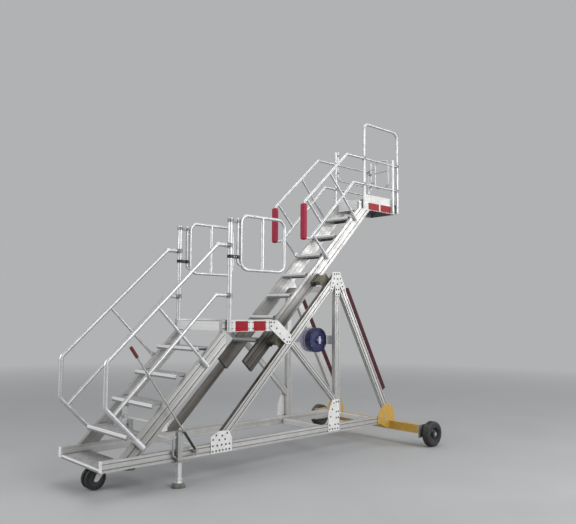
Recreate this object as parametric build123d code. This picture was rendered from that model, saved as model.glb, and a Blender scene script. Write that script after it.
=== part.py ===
from build123d import *
import os
from math import atan2, cos, degrees, hypot, sin

# Variable height access platform. A stair flight and a landing stand on a wheeled
# base. A second, narrower flight with a guarded top platform slides up and down
# the slope behind them. X runs from the foot of the stairs to the wheels, the
# lever is on the -Y side and Z is up. Lengths are in millimetres.

# Stairs
RISE = 250
GOING = 250
STEPS_TO_LANDING = 5
DECK_Z = 260
TREAD_DEPTH = 205
TREAD_H = 42
TREAD_WALL = 9
FASCIA_T = 12
FASCIA_H = 90

# Slotted aluminium bars
GROOVE_W = 10
GROOVE_D = 7
MEMBER_W = 50
REACH = 6000

# Side frames, one on each side of the machine
FRAME_Y = 405
RAIL_TOP = 333
RAIL_DEPTH = 95
BASE_LENGTH = 3885
PLATE_T = 6
END_CAP = 5
FRONT_DECK_LENGTH = 300
FRONT_DECK_T = 12
FRONT_NOSE_H = 30
CHANNEL_START = 120
CHANNEL_T = 10
CROSS_SECTION = 50
FRONT_CROSS_X = 955
CROSS_LIFT = 7
TOWER_CROSS_SET = 110
AXLE_CROSS_SET = 240

# Lower flight and landing
LOWER_DEPTH = 140
LOWER_DROP = 205
LANDING_LENGTH = 660
LANDING_EDGE = 120
LANDING_LIP = 20
DECK_T = 40
STRINGER_OVERLAP = 40

# Tower that carries the sliding flight
TOWER_X = 2925
TOWER_DEPTH = 90
POST_DEPTH = 70
BEAM_DROP = 333
APEX_RISE = 45
DIAGONAL_DEPTH = 60
DIAGONAL_TOP_X = 2180
DIAGONAL_FOOT_Z = 580
TIE_SECTION = 60
TIE_DROP = 155
PAD_T = 65
PAD_HEAD_INSET = 215
PAD_FOOT_INSET = 335

# Outlines (x, z) of the plates on the side frames, each from the point that it joins
FRONT_GUSSET = ((-90, 2), (-92, 165), (3, 210), (126, 206), (165, 133), (166, 2))
FOOT_GUSSET = ((-150, 17), (-150, 232), (-80, 372), (35, 372), (35, 17))
APEX_GUSSET = ((-79, 43), (43, 48), (149, -161), (95, -195), (40, -115), (40, -240), (-40, -240),
               (-40, -105), (-95, -200), (-129, -169))
AXLE_GUSSET = ((-225, 12), (-225, 102), (-122, 227), (-35, 244), (59, 210), (105, 102), (105, -76),
               (-25, -76), (-165, 0))
BRACKET_HEAD = ((-35, -70), (-35, 12), (75, 12))
BRACKET_FOOT = ((0, 70), (0, -30), (-70, -30))
BRACKET_HOLES = ((60, -72), (108, -130), (168, -192))
BRACKET_HOLE_R = 11

# Winch
WINCH_BEAM_H = 100
WINCH_X = 2745
WINCH_Z = 1290
WINCH_R = 142
BARREL_R = 100
SHAFT_R = 22
SHAFT_REACH = 25
WINCH_RIM_T = 15
RIM_BEVEL = 3
HOUSING_T = 70
HOUSING_STEP = 3
HOUSING_ROUND = 8
COVER_R = 114
COVER_INSET = 5
CRANK_W = 24
CRANK_LENGTH = 86
CRANK_T = 10
FLANGE_T = 15
END_FLANGE_T = 45
MOUNT_T = 8
GEAR_END_Y = -300
DRUM_END_Y = -140

# Axle and rear wheels
AXLE_SET = 55
AXLE_Z = 212
AXLE_SECTION = 100
AXLE_HALF = 870
AXLE_PLATE_T = 10
AXLE_EAR = 40
WHEEL_SET = 120
WHEEL_OUT = 80
WHEEL_D = 300
WHEEL_W = 95
TYRE_ROUND = 24
RIM_R = 92
RIM_WALL = 12
RIM_LIP = 8
HUB_R = 38
WEB_T = 20
RIM_HOLES = 5
RIM_HOLE_AT = 58
RIM_HOLE_R = 11
STUB_R = 15
STUB_COLLAR = 12
STUB_NUT = 6
RUNNING_FIT = 0.08

# Castor
SWIVEL_X = 200
CASTOR_TRAIL = 60
CASTOR_D = 200
CASTOR_W = 36
CASTOR_Y = 34
CASTOR_HUB_R = 68
CASTOR_AXLE_R = 18
CASTOR_PIN_R = 8
CASTOR_ROUND = 7
SWIVEL_PIN_R = 12
SWIVEL_R = 34
SWIVEL_PLATE = 120
FORK_T = 6
FORK_GAP = 4
FORK_RISE = 114
FORK_HOLE = (4, 55, 9)
CROWN_T = 8
CROWN_HALF = 45
CROWN_SKIRT = 30
LEG_FOOT = ((24, -12), (10, -24), (-10, -24), (-24, -12))

# Jacks on the outer faces of the base rails
JACK_X = 750
JACK_TUBE = 50
JACK_INNER = 40
JACK_GAP = 0.4
JACK_TOP = 505
JACK_BOTTOM = 235
JACK_FLANGE = 150
JACK_FLANGE_REACH = 70
JACK_ENGAGED = 90
STRAP = ((-10, 455), (-64, 455), (-64, 290), (-10, 255))
STRAP_R = 9
STRAP_BEND = 30
FOOT_D = 130
FOOT_H = 45
FOOT_BEVEL = (28, 20)
COLLAR_Z = 75
COLLAR_T = 10
COLLAR_LIP = 7

# Sliding flight, drawn at the height where it is parked
PLATFORM_X = 3624
PLATFORM_Z = 3072
PLATFORM_LENGTH = 705
PLATFORM_SIDE_H = 97
PLATFORM_DECK_T = 30
UPPER_STEPS = 7
UPPER_INNER = 195
UPPER_W = 36
UPPER_DEPTH = 160
UPPER_DROP = 158
UPPER_FOOT = 1965
HEAD_REACH = 300
SIDE_START = 70
FASCIA_DROP = 60
TOE_BOARD_H = 100
TOE_BOARD_T = 6
TOE_BOARD_INSET = 55

# Guides of the sliding flight: distances along the slope
GUIDE_PLACES = (2320, 3280)
GUIDE_LENGTH = 150
GUIDE_GAP = 0.4
GUIDE_LOW = -75
GUIDE_HIGH = -5
SHOE_T = 34
TONGUE_ROOT = 2
CHEEK_T = 8
ARM_INSET = 7
ARM_SHORTER = 40

# Guards: plane, radii and outlines (x, z)
RAIL_R = 22
MID_RAIL_R = 19
STRUT_R = 14
BOOT_WALL = 4
BOOT_W = 48
SEAT_GAP = 0.3
POST_R = 24
POST_X = 1312
POST_TOP = 2556
POST_FOOT_Z = 1425
COLLAR_R = 30
COLLAR_H = 44
BOOT_LENGTH = 125
TOP_RAIL = ((1154, 2278), (0, 1172), (0, 778), (375, 403))
MID_RAIL = ((1140, 1775), (72, 707))
RAIL_BEND = 60
LOWER_STRUT = ((490, 1655), (1064, 1081))

# Landing gates
GATE_ROD_X = 1405
GATE_LEFT = 1450
GATE_RIGHT = 2052
GATE_MIDDLE = 1740
GATE_LOW = 2040
GATE_HIGH = 2600
GATE_R = 17
GATE_MIDDLE_R = 19
GATE_ROD_R = 12
GATE_BAR_R = 9
GATE_ROD_RUN = 108
GATE_BEND = 90
GATE_BAR_DROP = 130
GATE_ROD_LIFT = 60
GATE_CLAMPS = (2165, 2530)
CLAMP_H = 34
CLAMP_T = 20
CLAMP_WALL = 8

# Guard of the top platform, all on one plane at each side. Its rails and struts are
# drawn from the front edge of the deck.
GUARD_Y = 250
GUARD_FOOT_Z = 2955
GUARD_INSET = 9
GUARD_COLLAR_WALL = 5
GUARD_COLLAR_H = 38
SLEEVE_TOP = 3625
SLEEVE_BORE_Z = 3012
HOOP_R = 18
HOOP_LEG_R = 15
HOOP_TOP = 4063
HOOP_SHOULDER = 3780
HOOP_FOOT = 3175
HOOP_BEND = 90
STOP_BAR_HALF = 34
STOP_BAR_R = 5
STOP_BAR_LIFT = 14
GUARD_RAILS = (3265, 3602)
GUARD_POST_R = 19
GUARD_RAIL_R = 14
FAR_POST_TOP = 3765
SPARE_POST_SET = 107
SPARE_POST_TOP = 3672
UPPER_RAIL_R = 17
UPPER_RAIL = ((-319, 530), (-1079, -182), (-1079, -594), (-976, -594), (-192, 193))
UPPER_BEND = 32
UPPER_STRUTS = (((-629, 236), (-143, -293)), ((-927, -545), (-663, -813)), ((-1030, -137), (-778, -396)))
UPPER_BOOT_LENGTH = 120
PAD_R = 40
PAD_ROUND = 8
PAD_BELOW = (30, 8)
PAD_GAP = 0.6

# Side gate and end gate of the top platform
SIDE_GATE_SET = 82
SIDE_GATE_Y = 285
SIDE_GATE_SHORT = 30
SIDE_GATE_Z = (3400, 3790)
SIDE_GATE_BEND = 70
SIDE_GATE_LUGS = (3500, 3740)
LUG_T = 20
LUG_WALL = 6
SIDE_LUG_DEPTH = 18
END_GATE_HINGE_Y = 208
END_GATE_Y = (-100, 130)
END_GATE_Z = (3350, 3720)
END_GATE_BAR_Z = 3570
END_GATE_R = 11
END_GATE_BAR_R = 8
END_GATE_BEND = 60
END_GATE_ARM_INSET = 90
END_GATE_ROD_REACH = (15, 5)
END_GATE_LUGS = (3380, 3560)
END_LUG_W = 16

# Tie between the lower stringers
STAIR_TIE_X = 639
STAIR_TIE_Z = 557
STAIR_TIE_R = 14
TIE_PLATE_T = 8
TIE_PLATE_HALF = 30
TIE_PLATE_DROP = 50
TIE_PLATE_RISE = 95

# Lever
LEVER_Y = 490
LEVER_PIN_R = 18
LEVER_PIN_REACH = 14
LEVER_PIVOT = (925, 300)
LEVER_END = (207, 1297)
LEVER_R = 8
GRIP_R = 15
GRIP_LENGTH = 116

slope = atan2(RISE, GOING)
landing_x = STEPS_TO_LANDING * GOING
landing_z = DECK_Z + STEPS_TO_LANDING * RISE
landing_end = landing_x + LANDING_LENGTH
stair_half = FRAME_Y - MEMBER_W / 2
frame_face = FRAME_Y + MEMBER_W / 2
upper_y = UPPER_INNER + UPPER_W / 2
upper_face = UPPER_INNER + UPPER_W
platform_end = PLATFORM_X + PLATFORM_LENGTH
rail_low = RAIL_TOP - RAIL_DEPTH
guard_y = frame_face + POST_R
axle_x = BASE_LENGTH + AXLE_SET
wheel_x = axle_x + WHEEL_SET
wheel_y = AXLE_HALF + WHEEL_OUT
guard_front = PLATFORM_X + GUARD_INSET
guard_back = platform_end - GUARD_INSET
guard_ends = (guard_front, guard_back)


def lower_z(x, drop=0):
    """Height at x of the lower nosing line, or of a line at a drop below it."""
    return DECK_Z + x * RISE / GOING - drop


def upper_z(x, drop=0):
    """Height at x of the upper nosing line, or of a line at a drop below it."""
    return PLATFORM_Z + (x - PLATFORM_X) * RISE / GOING - drop


def along(distance, drop, offset=0):
    """Point (x, z) at a distance along the upper slope, offset square to it."""
    x = (distance - upper_z(0, drop) * sin(slope)) * cos(slope)
    return (x - offset * sin(slope), upper_z(x, drop) + offset * cos(slope))


def block(x0, x1, y0, y1, z0, z1):
    """Box between two corners."""
    return Pos((x0 + x1) / 2, (y0 + y1) / 2, (z0 + z1) / 2) * Box(x1 - x0, y1 - y0, z1 - z0)


def slab(x0, x1, z0, z1):
    """Box over the whole far side, for trimming the ends of bars."""
    return block(x0, x1, 0, REACH, z0, z1)


def inside(face):
    """Box over everything nearer to the middle than a side face."""
    return block(-REACH, REACH, -REACH, face, -REACH, REACH)


def section(depth, width, grooves):
    """Cross-section of a slotted bar: a rectangle with grooves in its outer edge."""
    outline = Rectangle(depth, width)
    for i in range(grooves):
        offset = ((i + 0.5) / grooves - 0.5) * depth
        outline -= Pos(offset, (GROOVE_D - width) / 2) * Rectangle(GROOVE_W, GROOVE_D)
    return outline


def bar(start, end, depth, width, y, grooves=2, extra=0):
    """Slotted bar in a side plane, centred on the line between two points (x, z)."""
    length = hypot(end[0] - start[0], end[1] - start[1])
    ux = (end[0] - start[0]) / length
    uz = (end[1] - start[1]) / length
    origin = (start[0] - ux * extra / 2, y, start[1] - uz * extra / 2)
    plane = Plane(origin=origin, x_dir=(-uz, 0, ux), z_dir=(ux, 0, uz))
    return extrude(plane * section(depth, width, grooves), length + extra)


def plate(points, y0, y1):
    """Flat plate in a side plane between two values of y, from its outline (x, z)."""
    outline = Polygon(*points, align=None)
    return Pos(0, y1, 0) * Rot(90, 0, 0) * extrude(outline, y1 - y0, dir=(0, 0, 1))


def rod(start, end, radius):
    """Round bar between two points."""
    line = Line(start, end)
    return sweep(Plane(origin=line @ 0, z_dir=line % 0) * Circle(radius), path=line)


def upright(x, y, z0, z1, radius):
    """Vertical round bar."""
    return rod((x, y, z0), (x, y, z1), radius)


def level_x(x0, x1, y, z, radius):
    """Round bar along X."""
    return rod((x0, y, z), (x1, y, z), radius)


def disc(x, y0, y1, z, radius):
    """Round bar along Y."""
    return rod((x, y0, z), (x, y1, z), radius)


def bent_tube(points, radius, bend, y):
    """Round tube in a side plane through points (x, z), with rounded bends."""
    path = FilletPolyline(*[(x, y, z) for x, z in points], radius=bend)
    return sweep(Plane(origin=path @ 0, z_dir=path % 0) * Circle(radius), path=path)


def frame_tube(x0, x1, z0, z1, radius, bend, y):
    """Closed frame of round tube in a side plane, with rounded corners."""
    middle = (x0 + x1) / 2
    halves = [bent_tube(((middle, z0), (x, z0), (x, z1), (middle, z1)), radius, bend, y) for x in (x0, x1)]
    return halves[0] + halves[1]


def placed(points, x, z):
    """Points (x, z) moved to a new origin."""
    return [(x + a, z + b) for a, b in points]


def both(shape):
    """The mirror image of a shape on the near side, and the shape on the far side."""
    return [mirror(shape, about=Plane.XZ), shape]


nodes = {}

# Base: long rails with end caps, cross members, deck at the foot of the stairs
rail_z = (RAIL_TOP + rail_low) / 2
nodes["base_rails"] = both(bar((0, rail_z), (BASE_LENGTH, rail_z), RAIL_DEPTH, MEMBER_W, FRAME_Y))
nodes["cross_members"] = [
    block(CHANNEL_START, FRONT_DECK_LENGTH, -stair_half, stair_half, rail_low, rail_low + CHANNEL_T)
]
cross_places = (
    (FRONT_CROSS_X, RAIL_TOP - CROSS_SECTION),
    (TOWER_X - TOWER_CROSS_SET, rail_low + CROSS_LIFT),
    (axle_x - AXLE_CROSS_SET, rail_low + CROSS_LIFT),
)
for x, z in cross_places:
    nodes["cross_members"].append(block(x, x + CROSS_SECTION, -stair_half, stair_half, z, z + CROSS_SECTION))
nodes["front_deck"] = [
    block(0, FRONT_DECK_LENGTH, -stair_half, stair_half, DECK_Z - FRONT_DECK_T, DECK_Z)
    + block(0, FASCIA_T, -stair_half, stair_half, DECK_Z - FRONT_NOSE_H, DECK_Z)
]

# Tower: inclined beams, posts, rear braces and diagonals
apex_z = upper_z(TOWER_X, BEAM_DROP)
beam_foot_x = TOWER_X - (apex_z - RAIL_TOP) * GOING / RISE
post_ends = ((TOWER_X, RAIL_TOP), (TOWER_X, apex_z))
beam_ends = ((beam_foot_x, RAIL_TOP), (TOWER_X, apex_z))
post_space = bar(*post_ends, POST_DEPTH, MEMBER_W, FRAME_Y, grooves=0)
beam_space = bar(*beam_ends, TOWER_DEPTH, MEMBER_W, FRAME_Y, grooves=0, extra=3 * TOWER_DEPTH)
post = bar(*post_ends, POST_DEPTH, MEMBER_W, FRAME_Y)
post_back = TOWER_X + POST_DEPTH / 2
beam = bar(*beam_ends, TOWER_DEPTH, MEMBER_W, FRAME_Y, extra=3 * TOWER_DEPTH)
beam -= slab(0, REACH, -REACH, RAIL_TOP)
beam -= slab(0, REACH, apex_z + APEX_RISE, REACH)
beam -= slab(post_back, REACH, 0, REACH)
post -= beam_space
brace = bar((TOWER_X, apex_z), (BASE_LENGTH, RAIL_TOP), TOWER_DEPTH, MEMBER_W, FRAME_Y, extra=TOWER_DEPTH)
brace -= slab(0, post_back, 0, REACH)
brace -= slab(0, REACH, -REACH, RAIL_TOP)
brace -= slab(BASE_LENGTH, REACH, 0, REACH)
diagonal_top = (DIAGONAL_TOP_X, upper_z(DIAGONAL_TOP_X, BEAM_DROP))
diagonal = bar(diagonal_top, (TOWER_X, DIAGONAL_FOOT_Z), DIAGONAL_DEPTH, MEMBER_W, FRAME_Y)
nodes["inclined_beams"] = both(beam)
nodes["tower_posts"] = both(post)
nodes["rear_braces"] = both(brace)
nodes["tower_diagonals"] = both(diagonal - beam_space - post_space)

# Padded strips on the rear faces of the rear braces
brace_length = hypot(BASE_LENGTH - TOWER_X, apex_z - RAIL_TOP)
brace_x = (BASE_LENGTH - TOWER_X) / brace_length
brace_z = (RAIL_TOP - apex_z) / brace_length
pad_offset = (TOWER_DEPTH + PAD_T) / 2
pad_ends = [
    (TOWER_X + reach * brace_x - pad_offset * brace_z, apex_z + reach * brace_z + pad_offset * brace_x)
    for reach in (PAD_HEAD_INSET, brace_length - PAD_FOOT_INSET)
]
brace_pad = bar(*pad_ends, PAD_T, MEMBER_W, FRAME_Y, grooves=0)
nodes["brace_pads"] = both(brace_pad)

# Lower flight: stringers on the rails, treads between them, landing behind
side_z = landing_z + LANDING_LIP - LANDING_EDGE / 2
landing_side = bar((landing_x, side_z), (landing_end, side_z), LANDING_EDGE, MEMBER_W, FRAME_Y)
stringer_end = landing_x + STRINGER_OVERLAP
stringer = bar((0, lower_z(0, LOWER_DROP)), (stringer_end, lower_z(stringer_end, LOWER_DROP)),
               LOWER_DEPTH, MEMBER_W, FRAME_Y, extra=2 * LOWER_DEPTH)
stringer -= slab(-REACH, REACH, -REACH, RAIL_TOP)
stringer -= slab(landing_x, REACH, side_z - LANDING_EDGE / 2, REACH)
stringer -= slab(stringer_end, REACH, 0, REACH)
nodes["lower_stringers"] = both(stringer)
nodes["landing_sides"] = both(landing_side)
nodes["landing_deck"] = [
    block(landing_x, landing_end, -stair_half, stair_half, landing_z - DECK_T, landing_z),
    block(landing_x, landing_x + FASCIA_T, -stair_half, stair_half, landing_z - FASCIA_H, landing_z - DECK_T),
]


def tread(x, z, half):
    """Stair tread: a plank with a deep edge at the front and at the back."""
    inner_x = TREAD_DEPTH - TREAD_WALL
    outline = [(0, 0), (TREAD_DEPTH, 0), (TREAD_DEPTH, -TREAD_H), (inner_x, -TREAD_H),
               (inner_x, -TREAD_WALL), (TREAD_WALL, -TREAD_WALL), (TREAD_WALL, -TREAD_H), (0, -TREAD_H)]
    return Pos(x, 0, z) * plate(outline, -half, half)


nodes["lower_treads"] = [tread(i * GOING, lower_z(i * GOING), stair_half) for i in range(1, STEPS_TO_LANDING)]

# Plates bolted on the outer faces of the side frames
frame_plates = (
    placed(FRONT_GUSSET, beam_foot_x, rail_low),
    placed(FOOT_GUSSET, TOWER_X, rail_low),
    placed(APEX_GUSSET, TOWER_X, apex_z),
)
nodes["frame_gussets"] = []
for outline in frame_plates:
    nodes["frame_gussets"] += both(plate(outline, frame_face, frame_face + PLATE_T))
for y in (-FRAME_Y, FRAME_Y):
    nodes["frame_gussets"].append(block(-END_CAP, 0, y - MEMBER_W / 2, y + MEMBER_W / 2, rail_low, RAIL_TOP))
bracket_outline = placed(BRACKET_HEAD, landing_end, landing_z) + placed(BRACKET_FOOT, *diagonal_top)
bracket = plate(bracket_outline, frame_face, frame_face + PLATE_T)
for x, z in placed(BRACKET_HOLES, landing_end, landing_z):
    bracket -= disc(x, frame_face - PLATE_T, frame_face + 2 * PLATE_T, z, BRACKET_HOLE_R)
nodes["landing_brackets"] = both(bracket)

# Winch: cross beam between the posts, drum, gear housing inside a rim, shaft with a flat crank
post_front = TOWER_X - POST_DEPTH / 2
beam_low = WINCH_Z - WINCH_BEAM_H / 2
rim_back = GEAR_END_Y + WINCH_RIM_T
housing_back = rim_back + HOUSING_T
barrel = disc(WINCH_X, housing_back, DRUM_END_Y, WINCH_Z, BARREL_R)
barrel += disc(WINCH_X, DRUM_END_Y - END_FLANGE_T, DRUM_END_Y, WINCH_Z, WINCH_R)
barrel += disc(WINCH_X, housing_back, housing_back + FLANGE_T, WINCH_Z, WINCH_R)
housing = disc(WINCH_X, rim_back, housing_back, WINCH_Z, WINCH_R - HOUSING_STEP)
housing = fillet(housing.edges().filter_by(GeomType.CIRCLE).sort_by(Axis.Y)[0], HOUSING_ROUND)
cover_y = GEAR_END_Y + COVER_INSET
housing += disc(WINCH_X, cover_y, rim_back, WINCH_Z, COVER_R)
winch_rim = disc(WINCH_X, GEAR_END_Y, rim_back, WINCH_Z, WINCH_R)
winch_rim = chamfer(winch_rim.edges().filter_by(GeomType.CIRCLE), RIM_BEVEL)
winch_rim -= disc(WINCH_X, GEAR_END_Y, rim_back, WINCH_Z, COVER_R + SEAT_GAP)
crank = disc(WINCH_X, GEAR_END_Y - SHAFT_REACH, cover_y, WINCH_Z, SHAFT_R)
crank += block(WINCH_X - CRANK_W / 2, WINCH_X + CRANK_W / 2,
               GEAR_END_Y - SHAFT_REACH, GEAR_END_Y - SHAFT_REACH + CRANK_T,
               WINCH_Z - CRANK_LENGTH / 2, WINCH_Z + CRANK_LENGTH / 2)
mount_x = WINCH_X + COVER_R
beam_top = beam_low + WINCH_BEAM_H
mount = block(mount_x, post_front, GEAR_END_Y - MOUNT_T, GEAR_END_Y, beam_low, beam_top)
mount_end = block(mount_x, post_front, DRUM_END_Y, DRUM_END_Y + MOUNT_T, beam_low, beam_top)
tie_low = apex_z - TIE_DROP - TIE_SECTION / 2
apex_tie = block(TOWER_X - TIE_SECTION / 2, TOWER_X + TIE_SECTION / 2, -stair_half, stair_half,
                 tie_low, tie_low + TIE_SECTION)
nodes["winch_drum"] = [barrel, crank]
nodes["winch_housing"] = [housing]
nodes["winch_beam"] = [
    block(post_front, post_back, -stair_half, stair_half, beam_low, beam_top),
    apex_tie,
    winch_rim + mount,
    mount_end,
]

# Landing posts, lower handrails, their collars, struts and boots
posts_far = upright(POST_X, guard_y, POST_FOOT_Z, POST_TOP, POST_R)
rail_end = POST_X - POST_R
top_rail = bent_tube(((rail_end, TOP_RAIL[0][1]), *TOP_RAIL), RAIL_R, RAIL_BEND, guard_y)
mid_rail = bent_tube(((rail_end, MID_RAIL[0][1]), *MID_RAIL), MID_RAIL_R, RAIL_BEND, guard_y)
rail_collars = []
for z, radius in ((TOP_RAIL[0][1], RAIL_R), (MID_RAIL[0][1], MID_RAIL_R)):
    collar = level_x(rail_end - COLLAR_H, POST_X, guard_y, z, radius + BOOT_WALL)
    collar += upright(POST_X, guard_y, z - COLLAR_H / 2, z + COLLAR_H / 2, COLLAR_R)
    rail_collars += both(collar - posts_far - level_x(0, rail_end, guard_y, z, radius))
nodes["landing_posts"] = both(posts_far)
nodes["lower_top_rails"] = both(top_rail)
nodes["lower_mid_rails"] = both(mid_rail - top_rail)


def strut_with_boot(ends, y, face, boot_length):
    """Guard strut square to the slope, and the boot that fixes its foot on a side face."""
    (x0, z0), (x1, z1) = ends
    length = hypot(x1 - x0, z1 - z0)
    step_x = (x1 - x0) / length * boot_length
    step_z = (z1 - z0) / length * boot_length
    strut = rod((x0, y, z0), (x1, y, z1), STRUT_R)
    boot = rod((x1 - step_x, y, z1 - step_z), (x1, y, z1), STRUT_R + BOOT_WALL)
    boot_t = y - face - STRUT_R - SEAT_GAP
    boot += bar((x1 - step_x, z1 - step_z), (x1, z1), BOOT_W, boot_t, face + boot_t / 2, grooves=0)
    return strut, boot - strut - inside(face)


lower_strut, lower_boot = strut_with_boot(LOWER_STRUT, guard_y, frame_face, BOOT_LENGTH)
tail_end = TOP_RAIL[-1]
tail_length = hypot(tail_end[0] - TOP_RAIL[-2][0], tail_end[1] - TOP_RAIL[-2][1])
tail_start = [b + (a - b) * BOOT_LENGTH / tail_length for a, b in zip(TOP_RAIL[-2], tail_end)]
tail_boot = rod((tail_start[0], guard_y, tail_start[1]), (tail_end[0], guard_y, tail_end[1]),
                RAIL_R + BOOT_WALL)
tail_boot += bar(tail_start, tail_end, BOOT_W, PLATE_T, frame_face + PLATE_T / 2, grooves=0)
tail_boot -= top_rail + inside(frame_face)
nodes["lower_struts"] = both(lower_strut - top_rail - mid_rail)
nodes["rail_fittings"] = rail_collars + both(lower_boot) + both(tail_boot)

# Landing gates: rounded frame, middle bar and a hinge rod that curves into the bottom
gate = frame_tube(GATE_LEFT, GATE_RIGHT, GATE_LOW, GATE_HIGH, GATE_R, GATE_BEND, guard_y)
gate += upright(GATE_MIDDLE, guard_y, GATE_LOW, GATE_HIGH, GATE_MIDDLE_R)
gate += bent_tube(((GATE_ROD_X, GATE_CLAMPS[1] + CLAMP_H), (GATE_ROD_X, GATE_LOW + GATE_ROD_LIFT),
                   (GATE_LEFT + GATE_ROD_RUN, GATE_LOW)), GATE_ROD_R, GATE_BEND / 2, guard_y)
gate += level_x(GATE_ROD_X, GATE_LEFT, guard_y, GATE_HIGH - GATE_BAR_DROP, GATE_BAR_R)
nodes["landing_gate_near"], nodes["landing_gate_far"] = [[shape] for shape in both(gate)]
clamps = []
for z in GATE_CLAMPS:
    clamp = block(POST_X, GATE_ROD_X, guard_y - CLAMP_T / 2, guard_y + CLAMP_T / 2,
                  z - CLAMP_H / 2, z + CLAMP_H / 2)
    clamp += upright(GATE_ROD_X, guard_y, z - CLAMP_H / 2, z + CLAMP_H / 2, GATE_ROD_R + CLAMP_WALL)
    clamp += upright(POST_X, guard_y, z - CLAMP_H / 2, z + CLAMP_H / 2, COLLAR_R)
    clamp -= posts_far + upright(GATE_ROD_X, guard_y, z - CLAMP_H, z + CLAMP_H, GATE_ROD_R + RUNNING_FIT)
    clamps += both(clamp)
nodes["gate_clamps"] = clamps

# Jacks: flanged outer tube with a carrying strap, inner tube with collar and foot
jack_y = frame_face + JACK_TUBE / 2


def square_tube(side, z0, z1):
    """Square upright on the axis of the jack."""
    return block(JACK_X - side / 2, JACK_X + side / 2, jack_y - side / 2, jack_y + side / 2, z0, z1)


jack_tube = square_tube(JACK_TUBE, JACK_BOTTOM, JACK_TOP)
jack_tube += block(JACK_X - JACK_FLANGE / 2, JACK_X + JACK_FLANGE / 2,
                   frame_face, frame_face + JACK_FLANGE_REACH, JACK_BOTTOM - PLATE_T, JACK_BOTTOM)
jack_tube += bent_tube(placed(STRAP, JACK_X, 0), STRAP_R, STRAP_BEND, jack_y)
jack_tube -= square_tube(JACK_INNER + 2 * JACK_GAP, 0, JACK_TOP - PLATE_T)
jack_foot = square_tube(JACK_INNER, FOOT_H, JACK_BOTTOM + JACK_ENGAGED)
jack_foot += square_tube(JACK_INNER + 2 * COLLAR_LIP, COLLAR_Z - COLLAR_T / 2, COLLAR_Z + COLLAR_T / 2)
jack_pad = Pos(JACK_X, jack_y, FOOT_H / 2) * Cylinder(FOOT_D / 2, FOOT_H)
jack_pad = chamfer(jack_pad.edges().filter_by(GeomType.CIRCLE).sort_by(Axis.Z)[-1], *FOOT_BEVEL)
nodes["jack_tubes"] = both(jack_tube)
nodes["jack_foot_near"], nodes["jack_foot_far"] = [[shape] for shape in both(jack_foot + jack_pad)]

# Axle with end plates and stubs, and the gussets that carry it
axle_low = AXLE_Z - AXLE_SECTION / 2
axle = block(axle_x - AXLE_SECTION / 2, axle_x + AXLE_SECTION / 2, -AXLE_HALF, AXLE_HALF,
             axle_low, axle_low + AXLE_SECTION)
wheel_z = WHEEL_D / 2
end_plate = block(axle_x - AXLE_SECTION / 2, wheel_x + AXLE_EAR, AXLE_HALF, AXLE_HALF + AXLE_PLATE_T,
                  wheel_z - AXLE_EAR, axle_low + AXLE_SECTION)
stub_start = AXLE_HALF + AXLE_PLATE_T
wheel_face = wheel_y + WHEEL_W / 2
stub = disc(wheel_x, stub_start, wheel_face + 2 * STUB_NUT, wheel_z, STUB_R)
stub += disc(wheel_x, stub_start, wheel_y - WHEEL_W / 2 - SEAT_GAP, wheel_z, STUB_R + STUB_COLLAR)
stub += disc(wheel_x, wheel_face + SEAT_GAP, wheel_face + STUB_NUT, wheel_z, STUB_R + STUB_NUT)
axle_gusset = plate(placed(AXLE_GUSSET, BASE_LENGTH, rail_low), frame_face, frame_face + PLATE_T)
nodes["axle_beam"] = [axle]
nodes["axle_ends"] = both(end_plate + stub)
nodes["axle_gussets"] = both(axle_gusset - axle)

# Rear wheels: turned tyre and rim, the rim with a thin web and holes through it
tyre_half = WHEEL_W / 2
tyre = Rot(90, 0, 0) * Cylinder(WHEEL_D / 2, WHEEL_W)
tyre = fillet(tyre.edges().filter_by(GeomType.CIRCLE), TYRE_ROUND)
tyre -= Rot(90, 0, 0) * Cylinder(RIM_R, WHEEL_W)
bore_r = STUB_R + RUNNING_FIT
well_r = RIM_R - RIM_WALL
lip_y = tyre_half - RIM_LIP
half_profile = [(bore_r, tyre_half), (HUB_R, tyre_half), (HUB_R, WEB_T / 2), (well_r, WEB_T / 2),
                (well_r, lip_y), (RIM_R, lip_y)]
rim_profile = Polygon(*[(r, -y) for r, y in half_profile], *reversed(half_profile), align=None)
rim = revolve(rim_profile, axis=Axis.Y)
rim_hole = Pos(RIM_HOLE_AT, 0, 0) * Rot(90, 0, 0) * Cylinder(RIM_HOLE_R, WHEEL_W)
for i in range(RIM_HOLES):
    rim -= Rot(0, i * 360 / RIM_HOLES, 0) * rim_hole
for side, name in ((-1, "near"), (1, "far")):
    place = Pos(wheel_x, side * wheel_y, wheel_z)
    nodes["rear_tyre_" + name] = [place * tyre]
    nodes["rear_rim_" + name] = [place * rim]

# Castor: plate under the front deck, fork with raked legs, twin wheels on one hub
castor_x = SWIVEL_X - CASTOR_TRAIL
castor_r = CASTOR_D / 2
plate_low = rail_low - CROWN_T
crown_top = castor_r + FORK_RISE
half_plate = SWIVEL_PLATE / 2
leg_y = CASTOR_Y + CASTOR_W / 2 + FORK_GAP
leg_face = leg_y + FORK_T
crown_start = SWIVEL_X - CROWN_HALF
crown_end = SWIVEL_X + CROWN_HALF
crown = block(crown_start, crown_end, -leg_face, leg_face, crown_top - CROWN_T, crown_top)
leg = plate([(crown_start, crown_top), (crown_end, crown_top), (crown_end, crown_top - CROWN_SKIRT),
             *placed(LEG_FOOT, castor_x, castor_r), (crown_start, crown_top - CROWN_SKIRT)], leg_y, leg_face)
hole_x, hole_z, hole_r = FORK_HOLE
leg -= disc(castor_x + hole_x, 0, 2 * leg_y, castor_r + hole_z, hole_r)
fork = crown + upright(SWIVEL_X, 0, crown_top - CROWN_T, plate_low - SEAT_GAP, SWIVEL_R)
for shape in both(leg):
    fork += shape
fork += disc(castor_x, -leg_face - FORK_T, leg_face + FORK_T, castor_r, CASTOR_PIN_R)
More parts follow.
